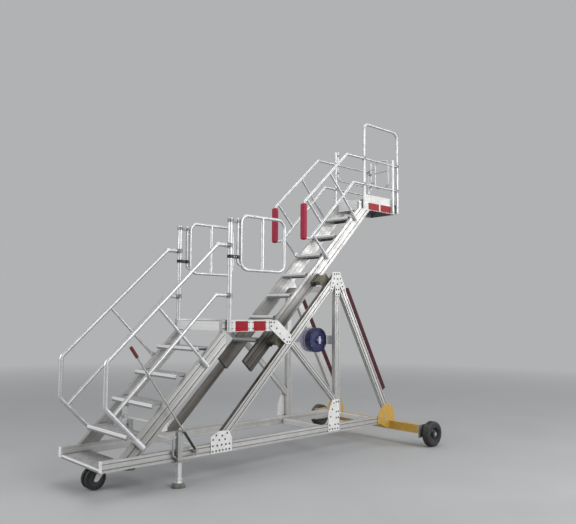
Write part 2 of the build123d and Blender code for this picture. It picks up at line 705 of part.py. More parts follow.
fork -= upright(SWIVEL_X, 0, castor_r, rail_low, SWIVEL_PIN_R + RUNNING_FIT)
nodes["castor_plate"] = [
    block(SWIVEL_X - half_plate, SWIVEL_X + half_plate, -half_plate, half_plate, plate_low, rail_low)
    + upright(SWIVEL_X, 0, crown_top - CROWN_T, plate_low, SWIVEL_PIN_R)
]
nodes["castor_fork"] = [fork]
pin_hole = disc(0, -leg_y, leg_y, 0, CASTOR_PIN_R + RUNNING_FIT)
hub_reach = leg_y - SEAT_GAP
hubs = disc(0, -hub_reach, hub_reach, 0, CASTOR_AXLE_R)
castor_tyre = disc(0, -CASTOR_W / 2, CASTOR_W / 2, 0, castor_r)
castor_tyre = chamfer(castor_tyre.edges().filter_by(GeomType.CIRCLE), CASTOR_ROUND)
castor_tyre -= disc(0, -CASTOR_W, CASTOR_W, 0, CASTOR_HUB_R)
castor_tyres = []
for y in (-CASTOR_Y, CASTOR_Y):
    hubs += disc(0, y - CASTOR_W / 2 + FORK_GAP, y + CASTOR_W / 2 - FORK_GAP, 0, CASTOR_HUB_R)
    castor_tyres.append(Pos(castor_x, y, castor_r) * castor_tyre)
nodes["castor_tyres"] = castor_tyres
nodes["castor_hubs"] = [Pos(castor_x, 0, castor_r) * (hubs - pin_hole)]

# Sliding flight: stringers with treads between them, platform at the head
foot = along(UPPER_FOOT, UPPER_DROP)
head_x = PLATFORM_X + HEAD_REACH
head = (head_x, upper_z(head_x, UPPER_DROP))
side_low = PLATFORM_Z - PLATFORM_DECK_T - PLATFORM_SIDE_H
side_top = PLATFORM_Z - PLATFORM_DECK_T
upper_stringer = bar(foot, head, UPPER_DEPTH, UPPER_W, upper_y)
upper_stringer -= slab(0, REACH, side_low, REACH)
nodes["upper_stringers"] = both(upper_stringer)
nodes["upper_treads"] = [tread(PLATFORM_X - i * GOING, PLATFORM_Z - i * RISE, UPPER_INNER)
                         for i in range(1, UPPER_STEPS + 1)]
side_beam = block(PLATFORM_X - SIDE_START, platform_end, UPPER_INNER, upper_face, side_low, side_top)
nodes["platform_sides"] = both(side_beam)
deck_half = upper_face - TOE_BOARD_T
deck_end = platform_end - TOE_BOARD_T
nodes["platform_deck"] = [
    block(PLATFORM_X, deck_end, -deck_half, deck_half, side_top, PLATFORM_Z),
    block(PLATFORM_X, PLATFORM_X + FASCIA_T, -UPPER_INNER, UPPER_INNER, side_top - FASCIA_DROP, side_top),
    block(platform_end - FASCIA_T, platform_end, -UPPER_INNER, UPPER_INNER, side_low, side_top),
]
nodes["toe_boards"] = both(block(PLATFORM_X + TOE_BOARD_INSET, platform_end - TOE_BOARD_INSET,
                                 deck_half, upper_face, side_top, side_top + TOE_BOARD_H))
nodes["toe_boards"].append(block(deck_end, platform_end, -deck_half, deck_half,
                                 side_top, side_top + TOE_BOARD_H))

# Guard of the platform: near sleeves hold the hoop, far posts and a spare post stand alone
sleeves = [upright(x, GUARD_Y, GUARD_FOOT_Z, SLEEVE_TOP, GUARD_POST_R) for x in guard_ends]
sleeve_bores = [upright(x, GUARD_Y, SLEEVE_BORE_Z, REACH, HOOP_LEG_R + RUNNING_FIT) for x in guard_ends]
far_front = upright(guard_front, GUARD_Y, GUARD_FOOT_Z, FAR_POST_TOP, GUARD_POST_R)
spare = upright(platform_end - SPARE_POST_SET, GUARD_Y, GUARD_FOOT_Z, SPARE_POST_TOP, GUARD_POST_R)
guard_posts = [mirror(sleeve - bore, about=Plane.XZ) for sleeve, bore in zip(sleeves, sleeve_bores)]
guard_posts += [mirror(spare, about=Plane.XZ), far_front, sleeves[1]]
post_room = upright(guard_front, GUARD_Y, 0, REACH, GUARD_POST_R)
post_room += upright(guard_back, GUARD_Y, 0, REACH, GUARD_POST_R)
guard_rails = []
collars = []
for z in GUARD_RAILS:
    rail = level_x(guard_front, guard_back, GUARD_Y, z, GUARD_RAIL_R) - post_room
    guard_rails += [mirror(rail - spare, about=Plane.XZ), rail]
    rail_room = level_x(guard_front, guard_back, GUARD_Y, z, GUARD_RAIL_R)
    rail_room += level_x(guard_front - COLLAR_H, guard_front, GUARD_Y, z, UPPER_RAIL_R)
    for x in guard_ends:
        collar = upright(x, GUARD_Y, z - GUARD_COLLAR_H / 2, z + GUARD_COLLAR_H / 2,
                         GUARD_POST_R + GUARD_COLLAR_WALL)
        collars += both(collar - post_room - rail_room)
nodes["guard_posts"] = guard_posts
nodes["guard_rails"] = guard_rails

# Hoop on the near side: thick bow, thin legs that slide in the sleeves, stop bars
bow = ((guard_front, HOOP_SHOULDER), (guard_front, HOOP_TOP),
       (guard_back, HOOP_TOP), (guard_back, HOOP_SHOULDER))
hoop = bent_tube(bow, HOOP_R, HOOP_BEND, GUARD_Y)
for x in guard_ends:
    hoop += upright(x, GUARD_Y, HOOP_FOOT, HOOP_SHOULDER + STOP_BAR_LIFT, HOOP_LEG_R)
    hoop += level_x(x - STOP_BAR_HALF, x + STOP_BAR_HALF, GUARD_Y, HOOP_SHOULDER + STOP_BAR_LIFT, STOP_BAR_R)
nodes["hoop_near"] = [mirror(hoop, about=Plane.XZ)]

# Swing bar beside the far front post, with its lugs
swing_x = guard_front + SIDE_GATE_SET
swing_low, swing_top = SIDE_GATE_Z
side_gate = bent_tube(((swing_x, swing_top), (swing_x, swing_low), (guard_back - SIDE_GATE_SHORT, swing_low)),
                      GATE_ROD_R, SIDE_GATE_BEND, SIDE_GATE_Y)
side_rod = upright(swing_x, SIDE_GATE_Y, swing_low, swing_top, GATE_ROD_R + RUNNING_FIT)
nodes["side_gate"] = [side_gate]
lugs = []
for z in SIDE_GATE_LUGS:
    lug = block(guard_front, swing_x, SIDE_GATE_Y - LUG_WALL - SIDE_LUG_DEPTH, SIDE_GATE_Y - LUG_WALL,
                z - LUG_T / 2, z + LUG_T / 2)
    lug += upright(swing_x, SIDE_GATE_Y, z - LUG_T / 2, z + LUG_T / 2, GATE_ROD_R + LUG_WALL)
    lugs.append(lug - side_rod - far_front)

# End gate: hinge rod, two arms, rounded frame with a bar across
gate_low, gate_high = END_GATE_Z
gate_right, gate_left = END_GATE_Y
rod_drop, rod_rise = END_GATE_ROD_REACH
end_gate = frame_tube(gate_right, gate_left, gate_low, gate_high, END_GATE_R, END_GATE_BEND, 0)
end_gate = Pos(guard_back, 0, 0) * Rot(0, 0, 90) * end_gate
end_gate += disc(guard_back, gate_right, gate_left, END_GATE_BAR_Z, END_GATE_BAR_R)
end_gate += upright(guard_back, END_GATE_HINGE_Y, gate_low - rod_drop, gate_high + rod_rise, END_GATE_R)
for z in (gate_low + END_GATE_ARM_INSET, gate_high - END_GATE_ARM_INSET):
    end_gate += disc(guard_back, gate_left, END_GATE_HINGE_Y, z, END_GATE_BAR_R)
nodes["platform_gate"] = [end_gate]
end_rod = upright(guard_back, END_GATE_HINGE_Y, 0, REACH, END_GATE_R + RUNNING_FIT)
for z in END_GATE_LUGS:
    lug = block(guard_back - END_LUG_W / 2, guard_back + END_LUG_W / 2, END_GATE_HINGE_Y, GUARD_Y,
                z - LUG_T / 2, z + LUG_T / 2)
    lug += upright(guard_back, END_GATE_HINGE_Y, z - LUG_T / 2, z + LUG_T / 2, END_GATE_R + LUG_WALL)
    lugs.append(lug - end_rod - sleeves[1])

# Upper handrails: an open loop at each side that ends on the front posts
rail_line = placed(UPPER_RAIL, PLATFORM_X, PLATFORM_Z)
loop_path = ((guard_front, rail_line[0][1]), *rail_line, (guard_front, rail_line[-1][1]))
loop = bent_tube(loop_path, UPPER_RAIL_R, UPPER_BEND, GUARD_Y)
nodes["upper_handrails"] = both(loop - post_room)
struts = []
boots = []
for ends in UPPER_STRUTS:
    strut_line = placed(ends, PLATFORM_X, PLATFORM_Z)
    strut, boot = strut_with_boot(strut_line, GUARD_Y, upper_face, UPPER_BOOT_LENGTH)
    struts += both(strut - loop)
    if ends is not UPPER_STRUTS[-1]:
        boots += both(boot)
nodes["upper_struts"] = struts
nodes["guard_fittings"] = collars + lugs + boots
pad = upright(rail_line[1][0], GUARD_Y, rail_line[2][1] - PAD_BELOW[0], rail_line[1][1] - PAD_BELOW[1], PAD_R)
pad = fillet(pad.edges().filter_by(GeomType.CIRCLE), PAD_ROUND)
pad -= bent_tube(loop_path, UPPER_RAIL_R + PAD_GAP, UPPER_BEND, GUARD_Y)
nodes["rail_pads"] = both(pad)

# Guides on the inclined beams: a shoe with a tongue in the stringer's lower groove
shoes = []
brackets = []
for distance in GUIDE_PLACES:
    middle = (GUIDE_LOW + GUIDE_HIGH) / 2
    ends = [along(d, UPPER_DROP, middle) for d in (distance, distance + GUIDE_LENGTH)]
    shoe_face = upper_face + GUIDE_GAP
    shoe_back = shoe_face + SHOE_T
    shoe = bar(*ends, GUIDE_HIGH - GUIDE_LOW, SHOE_T, shoe_face + SHOE_T / 2, grooves=0)
    tongue_ends = [along(d, UPPER_DROP, -UPPER_DEPTH / 4) for d in (distance, distance + GUIDE_LENGTH)]
    tongue_y = shoe_face + TONGUE_ROOT / 2 - GROOVE_D / 2
    shoe += bar(*tongue_ends, GROOVE_W - 2 * GUIDE_GAP, GROOVE_D, tongue_y, grooves=0)
    shoes += both(shoe)
    arm = bar(*ends, GUIDE_HIGH - GUIDE_LOW - 2 * ARM_INSET, stair_half - shoe_back,
              (stair_half + shoe_back) / 2, grooves=0, extra=-ARM_SHORTER)
    cheek_low = GUIDE_LOW - TOWER_DEPTH
    cheek_middle = (cheek_low + GUIDE_HIGH) / 2
    cheek_ends = [along(d, UPPER_DROP, cheek_middle) for d in (distance, distance + GUIDE_LENGTH)]
    arm += bar(*cheek_ends, GUIDE_HIGH - cheek_low, CHEEK_T, stair_half - CHEEK_T / 2, grooves=0)
    brackets += both(arm)
nodes["guide_shoes"] = shoes
nodes["guide_brackets"] = brackets

# Tie between the lower stringers, and the lever on its pivot
tie_end = stair_half - TIE_PLATE_T
tie_plates = both(block(STAIR_TIE_X - TIE_PLATE_HALF, STAIR_TIE_X + TIE_PLATE_HALF, tie_end, stair_half,
                        STAIR_TIE_Z - TIE_PLATE_DROP, STAIR_TIE_Z + TIE_PLATE_RISE))
tie_bar = disc(STAIR_TIE_X, -tie_end, tie_end, STAIR_TIE_Z, STAIR_TIE_R)
nodes["stair_tie"] = [tie_bar + tie_plates[0] + tie_plates[1]]
lever_length = hypot(LEVER_END[0] - LEVER_PIVOT[0], LEVER_END[1] - LEVER_PIVOT[1])
grip_share = GRIP_LENGTH / lever_length
grip_start = [b + (a - b) * grip_share for a, b in zip(LEVER_PIVOT, LEVER_END)]
lever = rod((LEVER_PIVOT[0], -LEVER_Y, LEVER_PIVOT[1]), (LEVER_END[0], -LEVER_Y, LEVER_END[1]), LEVER_R)
lever_pin = disc(LEVER_PIVOT[0], -LEVER_Y - LEVER_PIN_REACH, -frame_face, LEVER_PIVOT[1], LEVER_PIN_R)
grip = rod((grip_start[0], -LEVER_Y, grip_start[1]), (LEVER_END[0], -LEVER_Y, LEVER_END[1]), GRIP_R)
nodes["lever"] = [lever + lever_pin]
nodes["lever_grip"] = [grip - lever]

# Origin on the floor, in the middle of the length
boxes = [shape.bounding_box() for shapes in nodes.values() for shape in shapes]
middle_x = (min(box.min.X for box in boxes) + max(box.max.X for box in boxes)) / 2
os.makedirs("parts", exist_ok=True)
for name, shapes in nodes.items():
    solids = [Pos(-middle_x, 0, 0) * solid for shape in shapes for solid in shape.solids()]
    whole = solids[0] if len(solids) == 1 else Compound(solids)
    export_step(whole, f"parts/{name}.step")
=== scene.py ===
import math

import bmesh
import bpy
from mathutils import Matrix, Vector, noise


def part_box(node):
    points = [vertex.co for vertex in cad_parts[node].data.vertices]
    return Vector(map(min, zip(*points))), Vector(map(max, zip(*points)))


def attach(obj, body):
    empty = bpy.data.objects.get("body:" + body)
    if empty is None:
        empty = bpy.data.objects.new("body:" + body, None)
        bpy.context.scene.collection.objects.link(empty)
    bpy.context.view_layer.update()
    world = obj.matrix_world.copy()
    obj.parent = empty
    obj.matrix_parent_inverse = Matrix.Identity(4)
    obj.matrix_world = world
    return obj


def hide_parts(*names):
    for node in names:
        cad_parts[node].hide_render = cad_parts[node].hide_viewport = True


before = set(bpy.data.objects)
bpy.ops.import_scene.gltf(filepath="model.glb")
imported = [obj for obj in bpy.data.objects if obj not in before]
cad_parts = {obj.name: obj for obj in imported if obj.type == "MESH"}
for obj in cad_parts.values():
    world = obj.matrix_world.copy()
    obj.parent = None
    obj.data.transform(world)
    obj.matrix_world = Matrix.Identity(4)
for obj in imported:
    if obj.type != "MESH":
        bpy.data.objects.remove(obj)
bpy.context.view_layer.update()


# Side frames and lower stringers. Extruded aluminium bars with open grooves, in mill finish:
# fine die lines, dull patches, bright corners and a film of dust, with painted shade and dirt in
# the grooves. Painted shade darkens the inclined beams off their outer faces, and the lower
# stringers are painted darker towards the foot of the stair.
side_frame_bars = (
    ("base_rails", (1, 0, 0)),
    ("landing_sides", (1, 0, 0)),
    ("tower_posts", (0, 0, 1)),
    ("rear_braces", (0.492, 0, -0.871)),
    ("tower_diagonals", (0.692, 0, -0.722)),
)
mill_colour = (0.75, 0.75, 0.745, 1)
dull_mill_colour = (0.36, 0.35, 0.33, 1)
bright_corner_colour = (0.90, 0.905, 0.91, 1)
hall_dust_colour = (0.42, 0.405, 0.385, 1)
groove_shade_and_dirt_colour = (0.022, 0.021, 0.020, 1)
# Dark brown for painted shade and grease on the bars
shade_and_grease_colour = (0.052, 0.041, 0.030, 1)
bar_metallic = 0.62
bar_gloss = 0.36
bar_dust = 0.4
streak_share, line_share, smudge_share, recess_shade_and_dirt_share = 0.75, 0.35, 0.4, 0.92
smudge_rough, dust_rough, edge_rough = 0.16, 0.4, -0.1
die_lines_per_metre = 500.0
die_stretch = 0.985
darkening_top_z, darkening_foot_z = 0.95, 0.2
darkening_least, darkening_most = 0.05, 0.62
up_slope = (0.7071, 0, 0.7071)


def feed(tree, value, socket):
    """Link a socket, or set a constant."""
    if isinstance(value, bpy.types.NodeSocket):
        tree.links.new(value, socket)
    else:
        socket.default_value = value


def node(tree, kind, inputs=(), **settings):
    """Shader node with its settings and inputs."""
    made = tree.nodes.new("ShaderNode" + kind)
    for key, value in settings.items():
        setattr(made, key, value)
    for key, value in dict(inputs).items():
        feed(tree, value, made.inputs[key])
    return made


def arithmetic(tree, operation, a, b=0.0):
    """Output of a Math node."""
    return node(tree, "Math", {0: a, 1: b}, operation=operation).outputs[0]


def spread(tree, value, low, high, to_low=0.0, to_high=1.0):
    """Value taken from one range to another, and kept inside it."""
    inputs = {"Value": value, "From Min": low, "From Max": high,
              "To Min": to_low, "To Max": to_high}
    return node(tree, "MapRange", inputs).outputs["Result"]


def tint(tree, share, base, over):
    """Colour base with a share of colour over it."""
    mix = node(tree, "Mix", {0: share, 6: base, 7: over}, data_type="RGBA")
    return mix.outputs[2]


def own_place(tree):
    """Place in the piece's own coordinates."""
    return node(tree, "TexCoord").outputs["Object"]


def along_axis(tree, vector, axis):
    """One coordinate of a vector."""
    return node(tree, "SeparateXYZ", {0: vector}).outputs[axis]


def surface_noise(tree, scale, detail=3.0, place=None, roughness=0.55):
    """Noise on the piece's own coordinates."""
    inputs = {"Vector": place or own_place(tree), "Scale": scale, "Detail": detail,
              "Roughness": roughness}
    return node(tree, "TexNoise", inputs).outputs["Fac"]


def cells(tree, scale):
    """Distance to the middle of the nearest cell."""
    return node(tree, "TexVoronoi", {"Vector": own_place(tree), "Scale": scale}).outputs["Distance"]


def waves(tree, scale, distortion, detail, direction):
    """Bands that run across a direction."""
    inputs = {"Vector": own_place(tree), "Scale": scale, "Distortion": distortion, "Detail": detail}
    return node(tree, "TexWave", inputs, bands_direction=direction).outputs["Fac"]


def effect(name, inputs, outputs):
    """Empty node group with named inputs (name, socket type, value) and float outputs."""
    group = bpy.data.node_groups.new(name, "ShaderNodeTree")
    for label, kind, value in inputs:
        socket = group.interface.new_socket(name=label, in_out="INPUT", socket_type=kind)
        socket.default_value = value
    for label in outputs:
        group.interface.new_socket(name=label, in_out="OUTPUT", socket_type="NodeSocketFloat")
    given, result = group.nodes.new("NodeGroupInput"), group.nodes.new("NodeGroupOutput")
    return group, given.outputs, result.inputs


def dot(tree, a, b):
    """Dot product of two vectors."""
    return node(tree, "VectorMath", {0: a, 1: b}, operation="DOT_PRODUCT").outputs["Value"]


# Fine lines that run one way, and broader streaks between them
die_lines, given, result = effect(
    "die_lines",
    [("Along", "NodeSocketVector", (1, 0, 0)),
     ("Lines per metre", "NodeSocketFloat", die_lines_per_metre)],
    ["Line", "Streak"],
)
spot = own_place(die_lines)
run = arithmetic(die_lines, "MULTIPLY", dot(die_lines, spot, given["Along"]), die_stretch)
length_part = {0: given["Along"], "Scale": run}
pull = node(die_lines, "VectorMath", length_part, operation="SCALE").outputs[0]
squeezed = node(die_lines, "VectorMath", {0: spot, 1: pull}, operation="SUBTRACT").outputs[0]
broad = arithmetic(die_lines, "MULTIPLY", given["Lines per metre"], 0.08)
feed(die_lines, surface_noise(die_lines, given["Lines per metre"], 1.0, squeezed), result["Line"])
feed(die_lines, surface_noise(die_lines, broad, 3.0, squeezed), result["Streak"])

# Where edges are rubbed: the rounded normal leaves the flat one, broken up by noise
rubbed_edges, given, result = effect(
    "rubbed_edges",
    [("Width", "NodeSocketFloat", 0.003), ("Break-up", "NodeSocketFloat", 40.0)],
    ["Edge"],
)
rounded = node(rubbed_edges, "Bevel", {"Radius": given["Width"]}, samples=4).outputs["Normal"]
flat = node(rubbed_edges, "NewGeometry").outputs["Normal"]
turned = spread(rubbed_edges, dot(rubbed_edges, rounded, flat), 0.99, 0.86)
broken = spread(rubbed_edges, surface_noise(rubbed_edges, given["Break-up"]), 0.38, 0.62, 0.25, 1.0)
feed(rubbed_edges, arithmetic(rubbed_edges, "MULTIPLY", turned, broken), result["Edge"])

# Painted shade and dirt in grooves and inner corners, where little light comes, found by ambient
# occlusion
recess_shade_and_dirt, given, result = effect(
    "recess_shade_and_dirt",
    [("Reach", "NodeSocketFloat", 0.020), ("Depth", "NodeSocketFloat", 0.78)],
    ["Recess"],
)
reach = {"Distance": given["Reach"]}
open_share = node(recess_shade_and_dirt, "AmbientOcclusion", reach, samples=6).outputs["AO"]
feed(recess_shade_and_dirt, spread(recess_shade_and_dirt, open_share, given["Depth"], 0.35), result["Recess"])

# Settled dust on what faces up, in patches, and the smudges that hands and cloths leave
hall_dust, given, result = effect(
    "hall_dust",
    [("Amount", "NodeSocketFloat", 0.4), ("Smudge scale", "NodeSocketFloat", 7.0)],
    ["Dust", "Smudge"],
)
facing = node(hall_dust, "NewGeometry").outputs["Normal"]
up = spread(hall_dust, along_axis(hall_dust, facing, "Z"), 0.2, 0.95, 0.12, 1.0)
patch = spread(hall_dust, surface_noise(hall_dust, 11.0, 5.0), 0.36, 0.68)
settled = arithmetic(hall_dust, "MULTIPLY", up, patch)
feed(hall_dust, arithmetic(hall_dust, "MULTIPLY", settled, given["Amount"]), result["Dust"])
smear = surface_noise(hall_dust, given["Smudge scale"], 6.0, roughness=0.65)
feed(hall_dust, spread(hall_dust, smear, 0.38, 0.66), result["Smudge"])


def fitted(tree, group, **inputs):
    """Outputs of a node group placed in a material. Underscores stand for spaces in input names."""
    named = {key.replace("_", " "): value for key, value in inputs.items()}
    return node(tree, "Group", named, node_tree=group).outputs


def new_finish(name, metallic, specular=0.5, coat=0.0):
    """Material, its node tree and its shader."""
    made = bpy.data.materials.new(name)
    made.use_nodes = True
    shader = made.node_tree.nodes["Principled BSDF"]
    shader.inputs["Metallic"].default_value = metallic
    shader.inputs["Specular IOR Level"].default_value = specular
    shader.inputs["Coat Weight"].default_value = coat
    return made, made.node_tree, shader.inputs


def relief(tree, height, distance, strength):
    """Normal from a Bump node."""
    inputs = {"Height": height, "Distance": distance, "Strength": strength}
    return node(tree, "Bump", inputs).outputs["Normal"]


def cover(tree, shader, film, colour, gloss, smeared):
    """Dust over a colour, and roughness from gloss to smeared where hands have been."""
    feed(tree, tint(tree, film["Dust"], colour, hall_dust_colour), shader["Base Color"])
    feed(tree, spread(tree, film["Smudge"], 0.0, 1.0, gloss, smeared), shader["Roughness"])


def drawn_aluminium(name, along, base=mill_colour, dull=dull_mill_colour, gloss=bar_gloss,
                    dust=bar_dust, metallic=bar_metallic, darkened_by=None):
    """Extruded aluminium with die lines along one direction, darkened where darkened_by says, for
    painted shade and grease.
    """
    made, tree, shader = new_finish(name, metallic)
    lines = fitted(tree, die_lines, Along=along)
    edge = fitted(tree, rubbed_edges, Width=0.0025)["Edge"]
    film = fitted(tree, hall_dust, Amount=dust)
    metal = tint(tree, spread(tree, lines["Streak"], 0.35, 0.7, 0.0, streak_share), base, dull)
    metal = tint(tree, spread(tree, lines["Line"], 0.4, 0.75, 0.0, line_share), metal, dull)
    metal = tint(tree, arithmetic(tree, "MULTIPLY", film["Smudge"], smudge_share), metal, dull)
    metal = tint(tree, edge, metal, bright_corner_colour)
    # Darkening towards the shade and grease colour where darkened_by says
    if darkened_by:
        patchy = spread(tree, lines["Streak"], 0.3, 0.7, 1.0, 0.6)
        metal = tint(tree, arithmetic(tree, "MULTIPLY", darkened_by(tree), patchy), metal, shade_and_grease_colour)
    # Painted shade and dirt: grooves and inner corners darken towards near black
    recess = fitted(tree, recess_shade_and_dirt)["Recess"]
    shade_and_dirt = arithmetic(tree, "MULTIPLY", recess, recess_shade_and_dirt_share)
    metal = tint(tree, shade_and_dirt, metal, groove_shade_and_dirt_colour)
    feed(tree, tint(tree, film["Dust"], metal, hall_dust_colour), shader["Base Color"])
    feed(tree, spread(tree, recess, 0.0, 1.0, metallic, 0.2), shader["Metallic"])
    rough = arithmetic(tree, "MULTIPLY_ADD", film["Smudge"], smudge_rough)
    rough.node.inputs[2].default_value = gloss
    rough = arithmetic(tree, "ADD", rough, arithmetic(tree, "MULTIPLY", film["Dust"], dust_rough))
    rough = arithmetic(tree, "ADD", rough, arithmetic(tree, "MULTIPLY", edge, edge_rough))
    feed(tree, rough, shader["Roughness"])
    feed(tree, relief(tree, lines["Line"], distance=0.0002, strength=0.35), shader["Normal"])
    return made


def dress(node_name, material):
    """Give a CAD node its finished material."""
    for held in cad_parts[node_name].material_slots:
        held.material = material


drawn = {}
for bar_name, along in side_frame_bars:
    if along not in drawn:
        drawn[along] = drawn_aluminium("mill_finish_%d" % len(drawn), along)
    dress(bar_name, drawn[along])


def inner_face_shade(tree):
    """One on the faces of a pair of bars that don't look out from the middle plane, else zero; these
    inner faces get painted shade.
    """
    facing = along_axis(tree, node(tree, "NewGeometry").outputs["Normal"], "Y")
    side_sign = arithmetic(tree, "SIGN", along_axis(tree, own_place(tree), "Y"))
    return spread(tree, arithmetic(tree, "MULTIPLY", facing, side_sign), 0.5, 0.2)


def darker_towards_foot(tree):
    """Share of darkening on the lower stringers, which fades with height."""
    height = along_axis(tree, own_place(tree), "Z")
    return spread(tree, height, darkening_top_z, darkening_foot_z, darkening_least, darkening_most)


# The inclined beams get painted shade on their inner faces
dress("inclined_beams", drawn_aluminium("inner_shaded_beam", up_slope, darkened_by=inner_face_shade))
# The lower stringers are darker towards the foot of the stair
dress("lower_stringers", drawn_aluminium("foot_darkened_stringer", up_slope, darkened_by=darker_towards_foot))

foot_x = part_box("base_rails")[0].x
frame_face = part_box("base_rails")[1].y


# Stair treads and decks. Aluminium planks pressed with grip ribs, each with a folded front
# edge worn by boots and painted near white and barely metallic, a painted highlight. The planks
# themselves are duller than the bars.
rib_pitch = 0.0145
rib_height = 0.0016
rib_sink = 0.0004
rib_foot, rib_crown = 0.0032, 0.0016
tread_rib_start, tread_rib_end, rib_side_gap = 0.018, 0.006, 0.004
nosing_height = 0.024
nosing_front, nosing_back, nosing_side_gap = -0.0016, 0.002, 0.001
nosing_profile = ((-0.0024, -0.002), (-0.0008, 0.0014), (0.012, 0.0018), (0.014, -0.001),
                  (nosing_back, -0.001))
lip_t = 0.0015
front_lip_run = 0.012
front_lip_fall = 0.013
front_rib_start = 0.016
stair_step = 0.25
plank_depth = 0.205
plank_colour = (0.34, 0.345, 0.35, 1)
plank_dull_colour = (0.20, 0.20, 0.20, 1)
nosing_highlight_colour = (0.92, 0.92, 0.915, 1)


def add_prism(bm, outline, axis, start, end):
    """Prism of an outline of (a, b) pairs, drawn out along x or y."""
    rings = []
    for reach in (start, end):
        place = (lambda a, b: (reach, a, b)) if axis == "x" else (lambda a, b: (a, reach, b))
        rings.append([bm.verts.new(place(a, b)) for a, b in outline])
    count = len(outline)
    for i in range(count):
        j = (i + 1) % count
        bm.faces.new((rings[0][i], rings[0][j], rings[1][j], rings[1][i]))
    bm.faces.new(rings[0])
    bm.faces.new(rings[1])


def add_ribs(bm, x0, x1, y0, y1, top, axis="y"):
    """Grip ribs on a level plank, along x or y."""
    low, high = (x0, x1) if axis == "y" else (y0, y1)
    count = int((high - low) / rib_pitch)
    for i in range(count):
        middle = low + (high - low) * (i + 0.5) / count
        outline = [(middle - rib_foot, top - rib_sink), (middle - rib_crown, top + rib_height),
                   (middle + rib_crown, top + rib_height), (middle + rib_foot, top - rib_sink)]
        ends = (y0, y1) if axis == "y" else (x0, x1)
        add_prism(bm, outline, axis, *ends)


def build(name, bm, material, body, smooth=False):
    """Finished piece from a mesh under construction, riding on a CAD body."""
    bmesh.ops.recalc_face_normals(bm, faces=bm.faces)
    mesh = bpy.data.meshes.new(name)
    bm.to_mesh(mesh)
    bm.free()
    mesh.materials.append(material)
    for polygon in mesh.polygons:
        polygon.use_smooth = smooth
    made = bpy.data.objects.new(name, mesh)
    bpy.context.scene.collection.objects.link(made)
    if body:
        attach(made, body)
    return made


across = (0, 1, 0)
plank_finish = drawn_aluminium("ribbed_plank", across, plank_colour, plank_dull_colour,
                               gloss=0.42, dust=0.6)
# Near white and barely metallic: the nosings' bright edge is a painted highlight
nosing_highlight_finish = drawn_aluminium("nosing_painted_highlight", across, nosing_highlight_colour, mill_colour,
                                  gloss=0.3, dust=0.1, metallic=0.15)
for plank_node in ("front_deck", "lower_treads", "landing_deck", "upper_treads", "platform_deck"):
    dress(plank_node, plank_finish)

deck_low, deck_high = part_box("landing_deck")
top_low, top_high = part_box("platform_deck")
front_low, front_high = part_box("front_deck")
upper_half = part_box("upper_treads")[1].y
flights = (
    ("lower", "base_frame", deck_low, deck_high, deck_high.y, 4),
    ("upper", "sliding_flight", top_low, top_high, upper_half, 7),
)
for flight, body, head_low, head_high, half, steps in flights:
    ribs = bmesh.new()
    nosings = bmesh.new()
    for i in range(steps + 1):
        x, z = head_low.x - i * stair_step, head_high.z - i * stair_step
        end = head_high.x if i == 0 else x + plank_depth
        add_ribs(ribs, x + tread_rib_start, end - tread_rib_end,
                 rib_side_gap - half, half - rib_side_gap, z)
        fall = head_high.z - head_low.z if i == 0 else nosing_height
        lip = [(x + nosing_front, z - fall)]
        lip += [(x + dx, z + dz) for dx, dz in nosing_profile]
        lip.append((x + nosing_back, z - fall))
        add_prism(nosings, lip, "y", nosing_side_gap - half, half - nosing_side_gap)
    if flight == "lower":
        x, z = front_low.x, front_high.z
        edge = [(x - lip_t, z - front_lip_fall), (x - lip_t, z + lip_t),
                (x + front_lip_run, z + lip_t), (x + front_lip_run, z - lip_t),
                (x + lip_t, z - lip_t), (x + lip_t, z - front_lip_fall)]
        add_prism(nosings, edge, "y", front_low.y + lip_t, front_high.y - lip_t)
        add_ribs(ribs, x + front_rib_start, front_high.x - rib_side_gap, front_low.y + rib_side_gap,
                 front_high.y - rib_side_gap, z, "x")
    build(flight + "_grip_ribs", ribs, plank_finish, body)
    build(flight + "_tread_nosings", nosings, nosing_highlight_finish, body)


# Cross channels and stair tie. Wide channels between the side frames and the flat tie under
# the lower stair, in a brighter and cleaner aluminium than the bars.
bright_channel_colour = (0.88, 0.88, 0.875, 1)
bright_channel_finish = drawn_aluminium("bright_channel", across, bright_channel_colour, mill_colour,
                               dust=0.2, metallic=0.3)
for bright_node in ("cross_members", "stair_tie"):
    dress(bright_node, bright_channel_finish)


# Gusset plates, brackets and toe boards. Flat white plates; those on the side frames are
# bolted through the grooves. The paint is chipped at the edges and stained in patches.
plate_paint = (0.83, 0.83, 0.82, 1)
plate_grime = (0.45, 0.435, 0.41, 1)
bare_plate = (0.50, 0.51, 0.52, 1)
zinc_colour = (0.55, 0.555, 0.56, 1)
zinc_stain = (0.26, 0.245, 0.22, 1)
black_bolt_colour = (0.060, 0.060, 0.063, 1)
black_bolt_stain = (0.025, 0.023, 0.021, 1)
plate_t = 0.006
washer_t, washer_sides, washer_slope = 0.0016, 18, 0.95
head_share, head_top_share, chamfer_start, head_height = 0.66, 0.52, 0.5, 0.58
frame_bolt_size = 0.0105
front_gusset_bolts = (
    (1.150, 0.262), (1.190, 0.262), (1.230, 0.262), (1.270, 0.262), (1.310, 0.262), (1.352, 0.262),
    (1.150, 0.312), (1.202, 0.312), (1.255, 0.312), (1.308, 0.312), (1.352, 0.312), (1.152, 0.372),
    (1.190, 0.410), (1.226, 0.362), (1.262, 0.400), (1.298, 0.362), (1.322, 0.418),
)
foot_gusset_bolts = (
    (2.797, 0.280), (2.840, 0.280), (2.885, 0.280), (2.930, 0.280), (2.797, 0.325), (2.885, 0.325),
    (2.938, 0.325), (2.906, 0.400), (2.942, 0.400), (2.906, 0.470), (2.942, 0.470), (2.906, 0.580),
    (2.942, 0.580), (2.812, 0.420), (2.842, 0.500), (2.866, 0.570),
)
